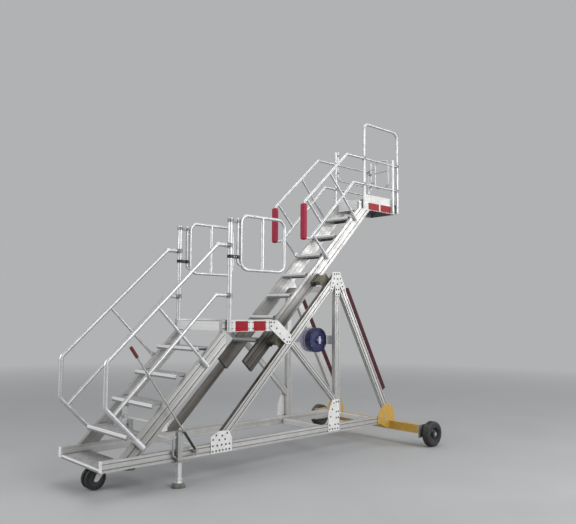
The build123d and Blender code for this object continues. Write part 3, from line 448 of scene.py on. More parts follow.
apex_gusset_bolts = (
    (2.872, 2.060), (2.910, 2.062), (2.948, 2.064), (2.868, 2.005), (2.925, 2.005), (2.978, 2.010),
    (2.850, 1.955), (2.836, 1.905), (2.824, 1.870), (2.993, 1.962), (3.014, 1.918), (3.040, 1.880),
    (2.925, 1.945), (2.905, 1.880), (2.945, 1.880), (2.905, 1.822), (2.945, 1.822),
)
bracket_bolts = (
    (1.893, 1.502), (1.932, 1.502), (1.893, 1.462), (2.152, 1.340), (2.160, 1.290), (2.122, 1.290),
)


def painted_plate(name, paint, grime, bare, chips=0.75, gloss=0.42, coat=0.0, dust=0.35):
    """Painted metal with chipped edges, grime in patches and dust on top."""
    made, tree, shader = new_finish(name, metallic=0.0, coat=coat)
    edge = fitted(tree, rubbed_edges, Width=0.004, **{"Break-up": 70.0})["Edge"]
    film = fitted(tree, hall_dust, Amount=dust, Smudge_scale=16.0)
    flakes = arithmetic(tree, "MULTIPLY", edge, surface_noise(tree, 130.0, 4.0))
    chip = spread(tree, flakes, 0.3, 0.42, 0.0, chips)
    colour = tint(tree, arithmetic(tree, "MULTIPLY", film["Smudge"], 0.35), paint, grime)
    cover(tree, shader, film, tint(tree, chip, colour, bare), gloss, gloss + 0.22)
    feed(tree, spread(tree, chip, 0.0, 1.0, 0.0, 0.8), shader["Metallic"])
    pits = arithmetic(tree, "MULTIPLY", chip, 1.5)
    lumps = arithmetic(tree, "SUBTRACT", surface_noise(tree, 240.0, 2.0), pits)
    feed(tree, relief(tree, lumps, distance=0.0004, strength=0.3), shader["Normal"])
    return made


def zinc_steel(name, base, stain, gloss=0.36):
    """Zinc plated steel: fine spangle, darker stains and rubbed edges."""
    made, tree, shader = new_finish(name, metallic=0.85)
    edge = fitted(tree, rubbed_edges, Width=0.0015)["Edge"]
    film = fitted(tree, hall_dust, Amount=0.35, Smudge_scale=34.0)
    spangle = cells(tree, 190.0)
    colour = tint(tree, spread(tree, spangle, 0.1, 0.8, 0.0, 0.3), base, stain)
    colour = tint(tree, arithmetic(tree, "MULTIPLY", film["Smudge"], 0.55), colour, stain)
    cover(tree, shader, film, tint(tree, edge, colour, bright_corner_colour), gloss, gloss + 0.2)
    feed(tree, relief(tree, spangle, distance=0.0002, strength=0.3), shader["Normal"])
    return made


def add_bolt(bm, place, axis, size):
    """Hexagon head with a chamfered top, on a washer that sits on a face."""
    turn = Matrix.Translation(place) @ Vector(axis).to_track_quat("Z", "Y").to_matrix().to_4x4()
    head_r, chamfer = size * head_share, size * chamfer_start
    layers = ((washer_sides, size, size * washer_slope, 0.0, washer_t),
              (6, head_r, head_r, washer_t, chamfer),
              (6, head_r, size * head_top_share, chamfer, size * head_height))
    for sides, low_r, high_r, low, high in layers:
        shift = Matrix.Translation((0, 0, (low + high) / 2))
        bmesh.ops.create_cone(bm, cap_ends=True, segments=sides, radius1=low_r, radius2=high_r,
                              depth=high - low, matrix=turn @ shift)


white_plate = painted_plate("white_plate", plate_paint, plate_grime, bare_plate)
for plate_node in ("frame_gussets", "landing_brackets", "toe_boards"):
    dress(plate_node, white_plate)
bolt_finish = zinc_steel("zinc_bolts", zinc_colour, zinc_stain)
black_bolts = zinc_steel("black_bolts", black_bolt_colour, black_bolt_stain, gloss=0.42)
bolts = bmesh.new()
for side in (-1, 1):
    for x, z in (*front_gusset_bolts, *foot_gusset_bolts, *apex_gusset_bolts, *bracket_bolts):
        place = (foot_x + x, side * (frame_face + plate_t), z)
        add_bolt(bolts, place, (0, side, 0), frame_bolt_size)
build("gusset_bolts", bolts, black_bolts, "base_frame")


# Rubber strips on the rear braces. A red moulded profile that keeps the tower from
# marking what it is rolled up to, painted dark maroon as painted shade, for it faces away from the
# light. The rubber is matt, dusty and greyed where it has rubbed.
# Dark maroon: the red strip's colour darkened as painted shade
strip_red_painted_shade = (0.048, 0.004, 0.012, 1)
strip_worn_painted_shade = (0.090, 0.020, 0.028, 1)


def matt_rubber(name, base, worn, grain=420.0, gloss=0.62, dust=0.5):
    """Rubber or soft plastic: fine grain, worn paler in patches and at the edges."""
    made, tree, shader = new_finish(name, metallic=0.0, specular=0.35)
    edge = fitted(tree, rubbed_edges, Width=0.003)["Edge"]
    film = fitted(tree, hall_dust, Amount=dust, Smudge_scale=20.0)
    pores = surface_noise(tree, grain, 3.0)
    colour = tint(tree, arithmetic(tree, "MULTIPLY", film["Smudge"], 0.35), base, worn)
    colour = tint(tree, arithmetic(tree, "MULTIPLY", edge, 0.7), colour, worn)
    colour = tint(tree, spread(tree, pores, 0.55, 0.8, 0.0, 0.25), colour, worn)
    cover(tree, shader, film, colour, gloss, gloss + 0.2)
    feed(tree, relief(tree, pores, distance=0.0004, strength=0.4), shader["Normal"])
    return made


dress("brace_pads", matt_rubber("brace_rubber", strip_red_painted_shade, strip_worn_painted_shade, dust=0.12))


# Hazard tape. Blocks of red and white reflective tape stuck along the outer faces of the
# landing and of the top platform. On the landing it dips into the bars' grooves.
tape_t = 0.0005
groove_dip = 0.0022
tape_red_colour = (0.38, 0.002, 0.012, 1)
tape_red_worn = (0.16, 0.01, 0.015, 1)
tape_white_colour = (0.82, 0.82, 0.81, 1)
tape_white_worn = (0.45, 0.44, 0.42, 1)
groove_mouth, groove_floor = 0.0055, 0.003
tape_low_gap, tape_high_gap, platform_tape_gap = 0.004, 0.014, 0.003
landing_tape = (("white", 1.382, 1.411), ("red", 1.413, 1.577), ("white", 1.600, 1.630),
                ("red", 1.652, 1.817), ("white", 1.830, 1.860))
platform_tape = (("white", 3.715, 3.737), ("red", 3.740, 3.955), ("white", 3.957, 3.985),
                 ("red", 3.987, 4.200), ("white", 4.202, 4.222))


def reflective_tape(name, base, grime):
    """Glossy tape over fine glass beads: small cells under a smooth film."""
    made, tree, shader = new_finish(name, metallic=0.0, specular=0.2, coat=0.05)
    shader["Coat Roughness"].default_value = 0.3
    film = fitted(tree, hall_dust, Amount=0.04, Smudge_scale=26.0)
    beads = cells(tree, 260.0)
    colour = tint(tree, spread(tree, beads, 0.25, 0.7, 0.0, 0.2), base, grime)
    colour = tint(tree, arithmetic(tree, "MULTIPLY", film["Smudge"], 0.3), colour, grime)
    cover(tree, shader, film, colour, gloss=0.3, smeared=0.5)
    feed(tree, relief(tree, beads, distance=0.0002, strength=0.25), shader["Normal"])
    return made


tapes = {
    "red": reflective_tape("red_tape", tape_red_colour, tape_red_worn),
    "white": reflective_tape("white_tape", tape_white_colour, tape_white_worn),
}
side_low, side_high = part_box("landing_sides")
quarter = (side_high.z - side_low.z) / 4
landing_profile = [(side_low.z + tape_low_gap, 0.0)]
for groove in (side_low.z + quarter, side_high.z - quarter):
    landing_profile += [(groove - groove_mouth, 0.0), (groove - groove_floor, -groove_dip),
                        (groove + groove_floor, -groove_dip), (groove + groove_mouth, 0.0)]
landing_profile.append((side_high.z - tape_high_gap, 0.0))
rim_low, rim_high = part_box("platform_sides")
platform_profile = [(rim_low.z + platform_tape_gap, 0.0), ((rim_low.z + rim_high.z) / 2, 0.0),
                    (rim_high.z - platform_tape_gap, 0.0)]
taped = (
    ("landing", "base_frame", landing_tape, landing_profile, side_high.y),
    ("platform", "sliding_flight", platform_tape, platform_profile, rim_high.y),
)
for place, body, blocks, profile, face in taped:
    for colour in ("red", "white"):
        strip = bmesh.new()
        for tone, x0, x1 in blocks:
            for side in (-1, 1):
                if tone == colour:
                    skin = [(side * (face + rise + tape_t), z) for z, rise in profile]
                    back = [(side * (face + rise), z) for z, rise in reversed(profile)]
                    add_prism(strip, skin + back, "x", foot_x + x0, foot_x + x1)
        build("%s_tape_%s" % (place, colour), strip, tapes[colour], body)


# Guard tubes. Round aluminium tube, bent cold and clear anodised, so it is smoother and
# brighter than the bars. Faint rings from the bending rollers and finger marks break it up.
tube_bright = (0.66, 0.665, 0.675, 1)
tube_mark = (0.46, 0.465, 0.475, 1)
tube_nodes = (
    "landing_posts", "lower_top_rails", "lower_mid_rails", "lower_struts", "landing_gate_near",
    "landing_gate_far", "guard_posts", "guard_rails", "hoop_near", "side_gate", "platform_gate",
    "upper_handrails", "upper_struts",
)
satin_tube, tree, shader = new_finish("satin_tube", metallic=0.7)
film = fitted(tree, hall_dust, Amount=0.3, Smudge_scale=13.0)
rings = waves(tree, scale=26.0, distortion=9.0, detail=3.0, direction="Z")
colour = tint(tree, arithmetic(tree, "MULTIPLY", film["Smudge"], 0.55), tube_bright, tube_mark)
colour = tint(tree, spread(tree, rings, 0.6, 1.0, 0.0, 0.16), colour, tube_mark)
cover(tree, shader, film, colour, gloss=0.38, smeared=0.46)
grain = surface_noise(tree, 700.0, 2.0)
feed(tree, relief(tree, grain, distance=0.0001, strength=0.12), shader["Normal"])
for tube_node in tube_nodes:
    dress(tube_node, satin_tube)


# Rail fittings. Cast collars in mid grey that join the tubes to the posts, pinched by small
# screws on the landing, and pale drawn boots in which the ends of the rails stand.
casting_grey = (0.20, 0.204, 0.212, 1)
casting_worn = (0.42, 0.42, 0.425, 1)
boot_pale = (0.74, 0.745, 0.755, 1)
boot_dull = (0.52, 0.525, 0.535, 1)
collar_tones = (casting_grey, casting_worn)
boot_tones = (boot_pale, boot_dull)
no_limit = 9.0
collar_reach = 0.055
guard_lead = 0.01
post_r = 0.024
collar_face = 0.0298
collar_levels = (2.278, 1.775)
collar_screw_dz = 0.011
collar_screw_size = 0.0062


def inside(tree, axis, low, high):
    """One where the piece's own coordinate on an axis lies between two values, else zero."""
    place = along_axis(tree, own_place(tree), axis)
    past = arithmetic(tree, "GREATER_THAN", place, low)
    return arithmetic(tree, "MULTIPLY", past, arithmetic(tree, "LESS_THAN", place, high))


def cast_metal(name, tones, other_tones, *zones):
    """Cast metal in tones (base, worn), with other tones inside the zones (axis, low, high)."""
    made, tree, shader = new_finish(name, metallic=0.55)
    film = fitted(tree, hall_dust, Amount=0.3, Smudge_scale=30.0)
    skin = surface_noise(tree, 330.0, 4.0)
    edge = fitted(tree, rubbed_edges, Width=0.003)["Edge"]
    share = 0.0
    for zone in zones:
        share = arithmetic(tree, "ADD", inside(tree, *zone), share)
    base = tint(tree, share, tones[0], other_tones[0])
    worn = tint(tree, share, tones[1], other_tones[1])
    colour = tint(tree, spread(tree, skin, 0.45, 0.75, 0.0, 0.45), base, worn)
    cover(tree, shader, film, tint(tree, edge, colour, worn), gloss=0.38, smeared=0.58)
    feed(tree, relief(tree, skin, distance=0.0006, strength=0.5), shader["Normal"])
    return made


post_low, post_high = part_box("landing_posts")
post_x = (post_low.x + post_high.x) / 2
post_y = post_high.y - post_r
guard_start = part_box("guard_posts")[0].x - guard_lead
by_posts = ("X", post_x - collar_reach, post_x + collar_reach)
dress("rail_fittings", cast_metal("rail_casting", boot_tones, collar_tones, by_posts))
below_guard = ("X", -no_limit, guard_start)
dress("guard_fittings", cast_metal("guard_casting", collar_tones, boot_tones, below_guard))
screws = bmesh.new()
for side in (-1, 1):
    for z in collar_levels:
        for dz in (-collar_screw_dz, collar_screw_dz):
            place = (post_x, side * (post_y + collar_face), z + dz)
            add_bolt(screws, place, (0, side, 0), collar_screw_size)
build("collar_screws", screws, bolt_finish, "base_frame")


# Gate clamps. Blocks on the landing posts that carry the hinge rods: the lower ones are
# black, the upper ones are bare castings.
clamp_black_colour = (0.018, 0.018, 0.020, 1)
clamp_black_worn = (0.11, 0.11, 0.115, 1)
black_clamp_top = 2.3
clamp_levels = (2.165, 2.530)
clamp_screw_reach = (0.045, 0.072)
clamp_face = 0.0098
clamp_screw_size = 0.0066
clamp_tones = (clamp_black_colour, clamp_black_worn)
lower_clamps = ("Z", 0.0, black_clamp_top)
dress("gate_clamps", cast_metal("clamp_casting", collar_tones, clamp_tones, lower_clamps))
clamp_screws = bmesh.new()
for side in (-1, 1):
    for z in clamp_levels:
        for reach in clamp_screw_reach:
            place = (post_x + reach, side * (post_y + clamp_face), z)
            add_bolt(clamp_screws, place, (0, side, 0), clamp_screw_size)
build("clamp_screws", clamp_screws, bolt_finish, "base_frame")


# Winch. A gear housing in glossy navy enamel and a pale drum on the cross beam of the tower;
# the drum's lavender tint is a painted highlight of its lit side.
# Shallow cast ribs run round the housing, and a bolted navy ring holds its cover; the beam
# and the mounts are bare castings.
navy_enamel = (0.010, 0.016, 0.080, 1)
navy_chalk = (0.028, 0.036, 0.12, 1)
cover_t = 0.010
ring_reach = 0.125
rim_front_y = -0.300
rim_bolt_r = 0.128
rim_bolts = 6
rim_bolt_size = 0.008
rib_places = (0.25, 0.5, 0.75)
rib_sides = 64
winch_rib_profile = ((-0.001, -0.005), (0.003, -0.0025), (0.003, 0.0025), (-0.001, 0.005))
# Lavender: a painted highlight of the drum's lit side over its pale colour
drum_lavender_painted_highlight = (0.52, 0.50, 0.66, 1)
drum_worn = (0.34, 0.33, 0.40, 1)
housing_low, housing_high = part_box("winch_housing")
housing_middle = (housing_low + housing_high) / 2
housing_r = (housing_high.z - housing_low.z) / 2


def skin_rows(bm, rows, close_rows=False, close_columns=True):
    """Faces between neighbouring rows of vertices."""
    columns = len(rows[0])
    for i in range(len(rows) if close_rows else len(rows) - 1):
        following = rows[(i + 1) % len(rows)]
        for j in range(columns if close_columns else columns - 1):
            k = (j + 1) % columns
            bm.faces.new((rows[i][j], rows[i][k], following[k], following[j]))


def add_ring(bm, centre, outline, sides=72, closed=True):
    """Ring about an axis along y, from an outline of (radius, y offset) pairs."""
    rows = []
    for i in range(sides):
        turn = 2 * math.pi * i / sides
        row = [(centre[0] + r * math.cos(turn), centre[1] + dy, centre[2] + r * math.sin(turn))
               for r, dy in outline]
        rows.append([bm.verts.new(spot) for spot in row])
    skin_rows(bm, rows, close_rows=True, close_columns=closed)


winch_navy = painted_plate("winch_navy", navy_enamel, navy_chalk, bare_plate, chips=0.5,
                           gloss=0.2, coat=0.6, dust=0.05)
dress("winch_housing", winch_navy)
bare_tones = (mill_colour, dull_mill_colour)
ring_zone = ("X", -no_limit, housing_middle.x + ring_reach)
dress("winch_beam", cast_metal("winch_frame", bare_tones, (navy_enamel, navy_chalk), ring_zone))
dress("winch_drum", painted_plate("winch_drum_painted_highlight", drum_lavender_painted_highlight, drum_worn, bare_plate,
                                  chips=0.7, gloss=0.34))
casting = bmesh.new()
body_y = housing_low.y + cover_t
for share in rib_places:
    y = body_y + (housing_high.y - body_y) * share
    outline = [(housing_r + dr, dy) for dr, dy in winch_rib_profile]
    add_ring(casting, (housing_middle.x, y, housing_middle.z), outline, rib_sides, closed=False)
build("winch_ribs", casting, winch_navy, "base_frame", smooth=True)
winch_bolts = bmesh.new()
for i in range(rim_bolts):
    turn = 2 * math.pi * (i + 0.5) / rim_bolts
    place = (housing_middle.x + rim_bolt_r * math.cos(turn), rim_front_y,
             housing_middle.z + rim_bolt_r * math.sin(turn))
    add_bolt(winch_bolts, place, (0, -1, 0), rim_bolt_size)
build("winch_cover_bolts", winch_bolts, black_bolts, "base_frame")


# Axle. A box beam and its two gussets in yellow enamel, with zinc plated end plates and
# stubs. The enamel is a little uneven, and it is chipped to bare metal along the corners.
axle_enamel = (0.60, 0.36, 0.045, 1)
axle_grime = (0.30, 0.19, 0.06, 1)
axle_yellow = painted_plate("axle_yellow", axle_enamel, axle_grime, bare_plate, chips=0.9,
                            gloss=0.3, coat=0.3)
for axle_node in ("axle_beam", "axle_gussets"):
    dress(axle_node, axle_yellow)
plated_steel = zinc_steel("plated_steel", zinc_colour, zinc_stain, gloss=0.4)
for steel_node in ("axle_ends", "castor_plate", "lever"):
    dress(steel_node, plated_steel)
axle_gusset_bolts = (
    (3.690, 0.268), (3.738, 0.268), (3.790, 0.268), (3.842, 0.268), (3.690, 0.312), (3.742, 0.312),
    (3.796, 0.312), (3.850, 0.312), (3.772, 0.398), (3.806, 0.440), (3.846, 0.402), (3.880, 0.440),
)
axle_bolts = bmesh.new()
for side in (-1, 1):
    for x, z in axle_gusset_bolts:
        place = (foot_x + x, side * (frame_face + plate_t), z)
        add_bolt(axle_bolts, place, (0, side, 0), frame_bolt_size)
build("axle_bolts", axle_bolts, bolt_finish, "base_frame")


# Wheels. Solid black rubber tyres on dark moulded rims. Two raised rings run round each side
# wall, and the rubber is greyed by dust and wear.
rubber_black = (0.020, 0.020, 0.021, 1)
rubber_grey = (0.055, 0.053, 0.050, 1)
rim_black = (0.035, 0.035, 0.038, 1)
rim_worn = (0.13, 0.13, 0.135, 1)
tyre_ring_insets = (0.050, 0.041)
tyre_ring_profile = ((-0.003, -0.001), (-0.0015, 0.0012), (0.0015, 0.0012), (0.003, -0.001))
tyre_rubber = matt_rubber("tyre_rubber", rubber_black, rubber_grey, grain=300.0, gloss=0.55,
                          dust=0.35)
rim_plastic = matt_rubber("rim_plastic", rim_black, rim_worn, grain=600.0, gloss=0.4, dust=0.3)
for side_name in ("near", "far"):
    body = "rear_wheel_" + side_name
    low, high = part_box("rear_tyre_" + side_name)
    centre = (low + high) / 2
    half = (high.y - low.y) / 2
    radius = (high.z - low.z) / 2
    dress("rear_tyre_" + side_name, tyre_rubber)
    dress("rear_rim_" + side_name, rim_plastic)
    rings = bmesh.new()
    for face in (-1, 1):
        for inset in tyre_ring_insets:
            outline = [(radius - inset + dr, face * (half + rise)) for dr, rise in tyre_ring_profile]
            add_ring(rings, centre, outline)
    build("tyre_rings_" + side_name, rings, tyre_rubber, body, smooth=True)


# Castor. Twin black wheels on one hub under a pressed fork, which turns below a bolted
# plate. The fork is steel in pale enamel, stained and chipped at its edges.
castor_bolt_reach = 0.045
castor_plate_t = 0.008
castor_bolt_size = 0.0085
fork_paint = painted_plate("castor_fork_paint", plate_paint, plate_grime, bare_plate,
                           chips=0.6, gloss=0.36)
dress("castor_fork", fork_paint)
dress("castor_tyres", tyre_rubber)
dress("castor_hubs", rim_plastic)
plate_low, plate_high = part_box("castor_plate")
castor_bolts = bmesh.new()
for dx in (-castor_bolt_reach, castor_bolt_reach):
    for dy in (-castor_bolt_reach, castor_bolt_reach):
        place = ((plate_low.x + plate_high.x) / 2 + dx, dy, plate_high.z - castor_plate_t)
        add_bolt(castor_bolts, place, (0, 0, -1), castor_bolt_size)
build("castor_bolts", castor_bolts, bolt_finish, "base_frame")


# Jacks. Square tube in a duller aluminium, held to the rail, with a plated inner tube that
# stands on a round moulded foot.
foot_pad_top = 0.045
jack_tube_colour = (0.52, 0.53, 0.52, 1)
jack_tube_dull = (0.27, 0.28, 0.26, 1)
plated_bright = (0.80, 0.80, 0.795, 1)
moulded_black = (0.075, 0.073, 0.068, 1)
moulded_dusty = (0.20, 0.19, 0.175, 1)
dress("jack_tubes", drawn_aluminium("jack_tube", (0, 0, 1), jack_tube_colour, jack_tube_dull))
jack_foot, tree, shader = new_finish("jack_foot", metallic=0.8)
film = fitted(tree, hall_dust, Amount=0.3, Smudge_scale=34.0)
pad_share = inside(tree, "Z", -no_limit, foot_pad_top)
plated = tint(tree, arithmetic(tree, "MULTIPLY", film["Smudge"], 0.5), plated_bright, zinc_colour)
moulded = tint(tree, film["Smudge"], moulded_black, moulded_dusty)
colour = tint(tree, pad_share, plated, moulded)
feed(tree, tint(tree, film["Dust"], colour, hall_dust_colour), shader["Base Color"])
feed(tree, spread(tree, pad_share, 0.0, 1.0, 0.6, 0.0), shader["Metallic"])
rough = arithmetic(tree, "ADD", film["Smudge"], pad_share)
feed(tree, spread(tree, rough, 0.0, 2.0, 0.3, 0.75), shader["Roughness"])
grain = surface_noise(tree, 420.0)
feed(tree, relief(tree, grain, distance=0.0003, strength=0.3), shader["Normal"])
for foot_node in ("jack_foot_near", "jack_foot_far"):
    dress(foot_node, jack_foot)


# Sliding flight. Stringers of the wide grooved bar, welded to the plain sides of the
# platform. They run on olive plastic shoes, held to the inclined beams by olive brackets.
# Their lower ends are painted dark, with grease from the shoes and painted shade under the landing,
# and closed by black caps.
lower_shade_from_z, lower_shade_to_z = 1.78, 1.45
cap_t = 0.0025
cap_inset = 0.002
end_slack = 0.001
olive_plastic = (0.045, 0.048, 0.030, 1)
olive_plastic_worn = (0.15, 0.15, 0.12, 1)
olive_paint = (0.115, 0.105, 0.062, 1)
olive_grime = (0.06, 0.055, 0.045, 1)


def lower_end_shade(tree):
    """One at the lower end of the stringers, fading out up the slope: painted shade under the
    landing, and grease.
    """
    return spread(tree, along_axis(tree, own_place(tree), "Z"), lower_shade_from_z, lower_shade_to_z)


# The stringers' lower ends get painted shade and grease
dress("upper_stringers", drawn_aluminium("shaded_greased_stringer", up_slope, darkened_by=lower_end_shade))
dress("platform_sides", drawn[(1, 0, 0)])
bar_way = Vector(up_slope).normalized()
bar_across = Vector((-bar_way.z, 0, bar_way.x))
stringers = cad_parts["upper_stringers"]
corners = [stringers.matrix_world @ vertex.co for vertex in stringers.data.vertices]
end_caps = bmesh.new()
for side in (-1, 1):
    own = [corner for corner in corners if corner.y * side > 0]
    end = min(corner.dot(bar_way) for corner in own)
    rim = [corner for corner in own if corner.dot(bar_way) < end + end_slack]
    heights = [corner.dot(bar_across) for corner in rim]
    widths = [corner.y for corner in rim]
    middle = (bar_way * (end - cap_t / 2) + bar_across * (min(heights) + max(heights)) / 2
              + Vector((0, (min(widths) + max(widths)) / 2, 0)))
    turn = Matrix((bar_way * cap_t, Vector((0, max(widths) - min(widths) - cap_inset, 0)),
                   bar_across * (max(heights) - min(heights) - cap_inset))).transposed().to_4x4()
    bmesh.ops.create_cube(end_caps, size=1, matrix=Matrix.Translation(middle) @ turn)
clamp_black = matt_rubber("clamp_black", clamp_black_colour, clamp_black_worn, grain=520.0,
                          gloss=0.42, dust=0.3)
build("stringer_caps", end_caps, clamp_black, "sliding_flight")
shoe_olive = matt_rubber("shoe_olive", olive_plastic, olive_plastic_worn, grain=500.0, gloss=0.5)
dress("guide_shoes", shoe_olive)
dress("guide_brackets", painted_plate("bracket_olive", olive_paint, olive_grime, bare_plate))


# Rail pads. Foam sleeves in crimson coated cloth, wrapped round the front bends of the upper
# handrails and closed by a lapped seam. A hem pulls each sleeve in near both of its ends.
pad_crimson = (0.40, 0.004, 0.045, 1)
pad_shade = (0.18, 0.002, 0.022, 1)
pad_worn = (0.44, 0.04, 0.09, 1)
coated_cloth, tree, shader = new_finish("coated_cloth", metallic=0.0, specular=0.4)
shader["Sheen Weight"].default_value = 0.06
shader["Sheen Roughness"].default_value = 0.4
weave = waves(tree, scale=190.0, distortion=0.3, detail=2.0, direction="Z")
cross_weave = waves(tree, scale=150.0, distortion=0.3, detail=2.0, direction="DIAGONAL")
thread = arithmetic(tree, "MULTIPLY", weave, cross_weave)
film = fitted(tree, hall_dust, Amount=0.12, Smudge_scale=22.0)
colour = tint(tree, spread(tree, thread, 0.0, 0.7, 0.35, 0.0), pad_crimson, pad_shade)
colour = tint(tree, arithmetic(tree, "MULTIPLY", film["Smudge"], 0.3), colour, pad_worn)
cover(tree, shader, film, colour, gloss=0.5, smeared=0.7)
feed(tree, relief(tree, thread, distance=0.0004, strength=0.5), shader["Normal"])
pads_low, pads_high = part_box("rail_pads")
pad_r = (pads_high.x - pads_low.x) / 2
pad_x = (pads_high.x + pads_low.x) / 2
pad_y = pads_high.y - pad_r
pad_length = pads_high.z - pads_low.z
rings_up, around = 44, 56
bore_r, closed_r = 0.0172, 0.0005
cloth_room = 0.0015
round_run, round_power = 0.016, 0.45
hem_place, hem_width = 0.030, 0.004
seam_turn, seam_width = 3.6, 0.09
tuck_depth = 0.0022
crease_depth, crease_fade = 0.0016, 0.02
crease_around, crease_up, crease_shift = 1.5, 26, 7
for side_name, side in (("near", -1), ("far", 1)):
    sleeve = bmesh.new()
    rows = []
    for i in range(rings_up + 1):
        share = i / rings_up
        z = pads_low.z + pad_length * share
        end = min(share, 1 - share) * pad_length
        least = closed_r if share < 0.5 else bore_r
        radius = least + (pad_r - cloth_room - least) * min(1.0, end / round_run) ** round_power
        radius -= tuck_depth * math.exp(-((end - hem_place) / hem_width) ** 2)
        row = []
        for j in range(around):
            turn = 2 * math.pi * j / around
            dx, dy = math.cos(turn), math.sin(turn)
            crease = noise.noise(Vector((dx * crease_around, dy * crease_around + side * crease_shift,
                                         z * crease_up)))
            seam = -tuck_depth * math.exp(-((turn - seam_turn) / seam_width) ** 2)
            r = radius + (crease_depth * crease + seam) * min(1.0, end / crease_fade)
            row.append(sleeve.verts.new((pad_x + r * dx, side * pad_y + r * dy, z)))
        rows.append(row)
    skin_rows(sleeve, rows)
    pad = build("rail_pad_" + side_name, sleeve, coated_cloth, "sliding_flight", smooth=True)
    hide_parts("rail_pads")


# Lever. A plated rod on a pivot at the near rail, with a dark red ribbed grip at the top and
# a black sleeve over its lower end.
grip_colour = (0.13, 0.008, 0.013, 1)
grip_worn = (0.24, 0.06, 0.06, 1)
grip_red = matt_rubber("lever_grip_red", grip_colour, grip_worn, grain=500.0, gloss=0.45, dust=0.2)
dress("lever_grip", grip_red)
lever_foot = Vector((foot_x + 0.925, -0.490, 0.300))
lever_top = Vector((foot_x + 0.207, -0.490, 1.297))
sleeve_start, sleeve_end, sleeve_r = 0.035, 0.25, 0.0125
grip_start, grip_end, grip_r = 0.112, 0.004, 0.0162
grip_sides, grip_grooves, groove_depth = 28, 9, 0.0016
rod_way = (lever_top - lever_foot).normalized()


def add_sleeve(bm, start, end, radius, sides=24, grooves=0):
    """Sleeve round a rod, with rounded grooves along its length."""
    way = end - start
    turn = way.to_track_quat("Z", "Y").to_matrix()
    steps = max(2, grooves * 6)
    rows = []
    for i in range(steps + 1):
        share = i / steps
        r = radius
        if grooves:
            r -= groove_depth * (0.5 + 0.5 * math.cos(2 * math.pi * share * grooves))
        angles = [2 * math.pi * j / sides for j in range(sides)]
        row = [turn @ Vector((r * math.cos(angle), r * math.sin(angle), 0)) for angle in angles]
        rows.append([bm.verts.new(start + way * share + spot) for spot in row])
    skin_rows(bm, rows)
    bm.faces.new(rows[0])
    bm.faces.new(rows[-1])


sleeve = bmesh.new()
add_sleeve(sleeve, lever_foot + rod_way * sleeve_start, lever_foot + rod_way * sleeve_end, sleeve_r)
build("lever_sleeve", sleeve, clamp_black, "base_frame")
ribs = bmesh.new()
add_sleeve(ribs, lever_top - rod_way * grip_start, lever_top - rod_way * grip_end, grip_r,
           grip_sides, grip_grooves)
build("lever_grip_ribs", ribs, grip_red, "base_frame", smooth=True)


# Floor, backdrop, lamps and camera. A pale sealed floor in a plain studio, lit softly from
# above and from the camera's side. The camera stands where the photograph was taken.
floor_grey = (0.42, 0.425, 0.43, 1)
floor_patch_grey = (0.46, 0.465, 0.47, 1)
backdrop_grey = (0.44, 0.445, 0.45, 1)
sky_low_grey = (0.52, 0.53, 0.545, 1)
sky_high_grey = (0.80, 0.81, 0.83, 1)
haze_start, haze_end = 4.0, 14.0
floor_reach = 60
unseen_strength = 0.42
floor_finish, tree, shader = new_finish("studio_floor", metallic=0.0, specular=0.25)
blotch = surface_noise(tree, 0.9, 5.0)
colour = tint(tree, spread(tree, blotch, 0.3, 0.7), floor_grey, floor_patch_grey)
feed(tree, colour, shader["Base Color"])
feed(tree, spread(tree, blotch, 0.3, 0.7, 0.55, 0.7), shader["Roughness"])
away = node(tree, "VectorMath", {0: own_place(tree)}, operation="LENGTH").outputs["Value"]
haze = spread(tree, away, haze_start, haze_end)
haze = arithmetic(tree, "MULTIPLY", haze, node(tree, "LightPath").outputs["Is Camera Ray"])
glow = node(tree, "Emission", {"Color": backdrop_grey}).outputs[0]
surface = tree.nodes["Principled BSDF"].outputs[0]
covered = node(tree, "MixShader", {0: haze, 1: surface, 2: glow}).outputs[0]
feed(tree, covered, tree.nodes["Material Output"].inputs["Surface"])
ground = bmesh.new()
bmesh.ops.create_grid(ground, x_segments=8, y_segments=8, size=floor_reach)
floor = build("studio_floor", ground, floor_finish, None)

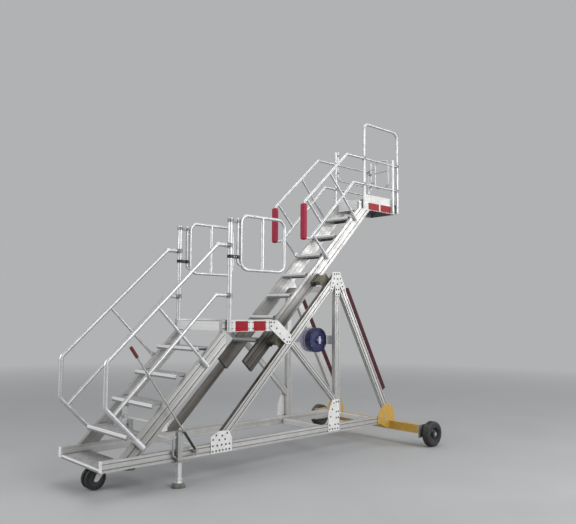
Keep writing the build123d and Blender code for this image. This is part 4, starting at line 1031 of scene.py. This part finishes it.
world = bpy.data.worlds.new("studio")
bpy.context.scene.world = world
world.use_nodes = True
tree = world.node_tree
seen = node(tree, "LightPath").outputs
shown = arithmetic(tree, "MAXIMUM", seen["Is Camera Ray"], seen["Is Glossy Ray"])
shown = arithmetic(tree, "MAXIMUM", shown, seen["Is Transmission Ray"])
height = along_axis(tree, node(tree, "TexCoord").outputs["Generated"], "Z")
sky = tint(tree, spread(tree, height, -0.1, 0.8), sky_low_grey, sky_high_grey)
background = tree.nodes["Background"].inputs
feed(tree, tint(tree, shown, sky, backdrop_grey), background["Color"])
feed(tree, spread(tree, shown, 0.0, 1.0, unseen_strength, 1.0), background["Strength"])

lamps = (
    ("key_softbox", (0.5, -8.0, 5.0), (0.3, 0.0, 1.3), 5.0, 340.0),
    ("overhead_softbox", (1.2, 0.5, 8.5), (0.6, 0.0, 1.5), 5.0, 175.0),
    ("side_softbox", (7.5, -8.0, 4.2), (0.6, 0.0, 1.4), 4.5, 320.0),
    ("front_softbox", (-8.0, 1.0, 4.0), (0.0, 0.0, 1.4), 4.5, 290.0),
)
for lamp_name, place, target, size, power in lamps:
    lamp = bpy.data.lights.new(lamp_name, "AREA")
    lamp.shape = "SQUARE"
    lamp.size = size
    lamp.energy = power
    holder = bpy.data.objects.new(lamp_name, lamp)
    holder.location = place
    holder.rotation_euler = (Vector(target) - Vector(place)).to_track_quat("-Z", "Y").to_euler()
    bpy.context.scene.collection.objects.link(holder)

lens_mm, sensor_mm = 39.86, 36.0
camera_place = (foot_x - 2.616, -5.523, 1.606)
camera_yaw, camera_pitch, camera_roll = 0.820465, 0.079157, 0.007089
level = math.cos(camera_pitch)
ahead = Vector((level * math.cos(camera_yaw), level * math.sin(camera_yaw), math.sin(camera_pitch)))
right = ahead.cross(Vector((0, 0, 1))).normalized()
above = right.cross(ahead)
rolled_right = math.cos(camera_roll) * right + math.sin(camera_roll) * above
rolled_above = math.cos(camera_roll) * above - math.sin(camera_roll) * right
camera_data = bpy.data.cameras.new("camera")
camera_data.lens = lens_mm
camera_data.sensor_width = sensor_mm
camera = bpy.data.objects.new("camera", camera_data)
camera.matrix_world = Matrix((rolled_right, rolled_above, -ahead)).transposed().to_4x4()
camera.location = camera_place
bpy.context.scene.collection.objects.link(camera)
bpy.context.scene.camera = camera
bpy.context.scene.view_settings.view_transform = "Standard"
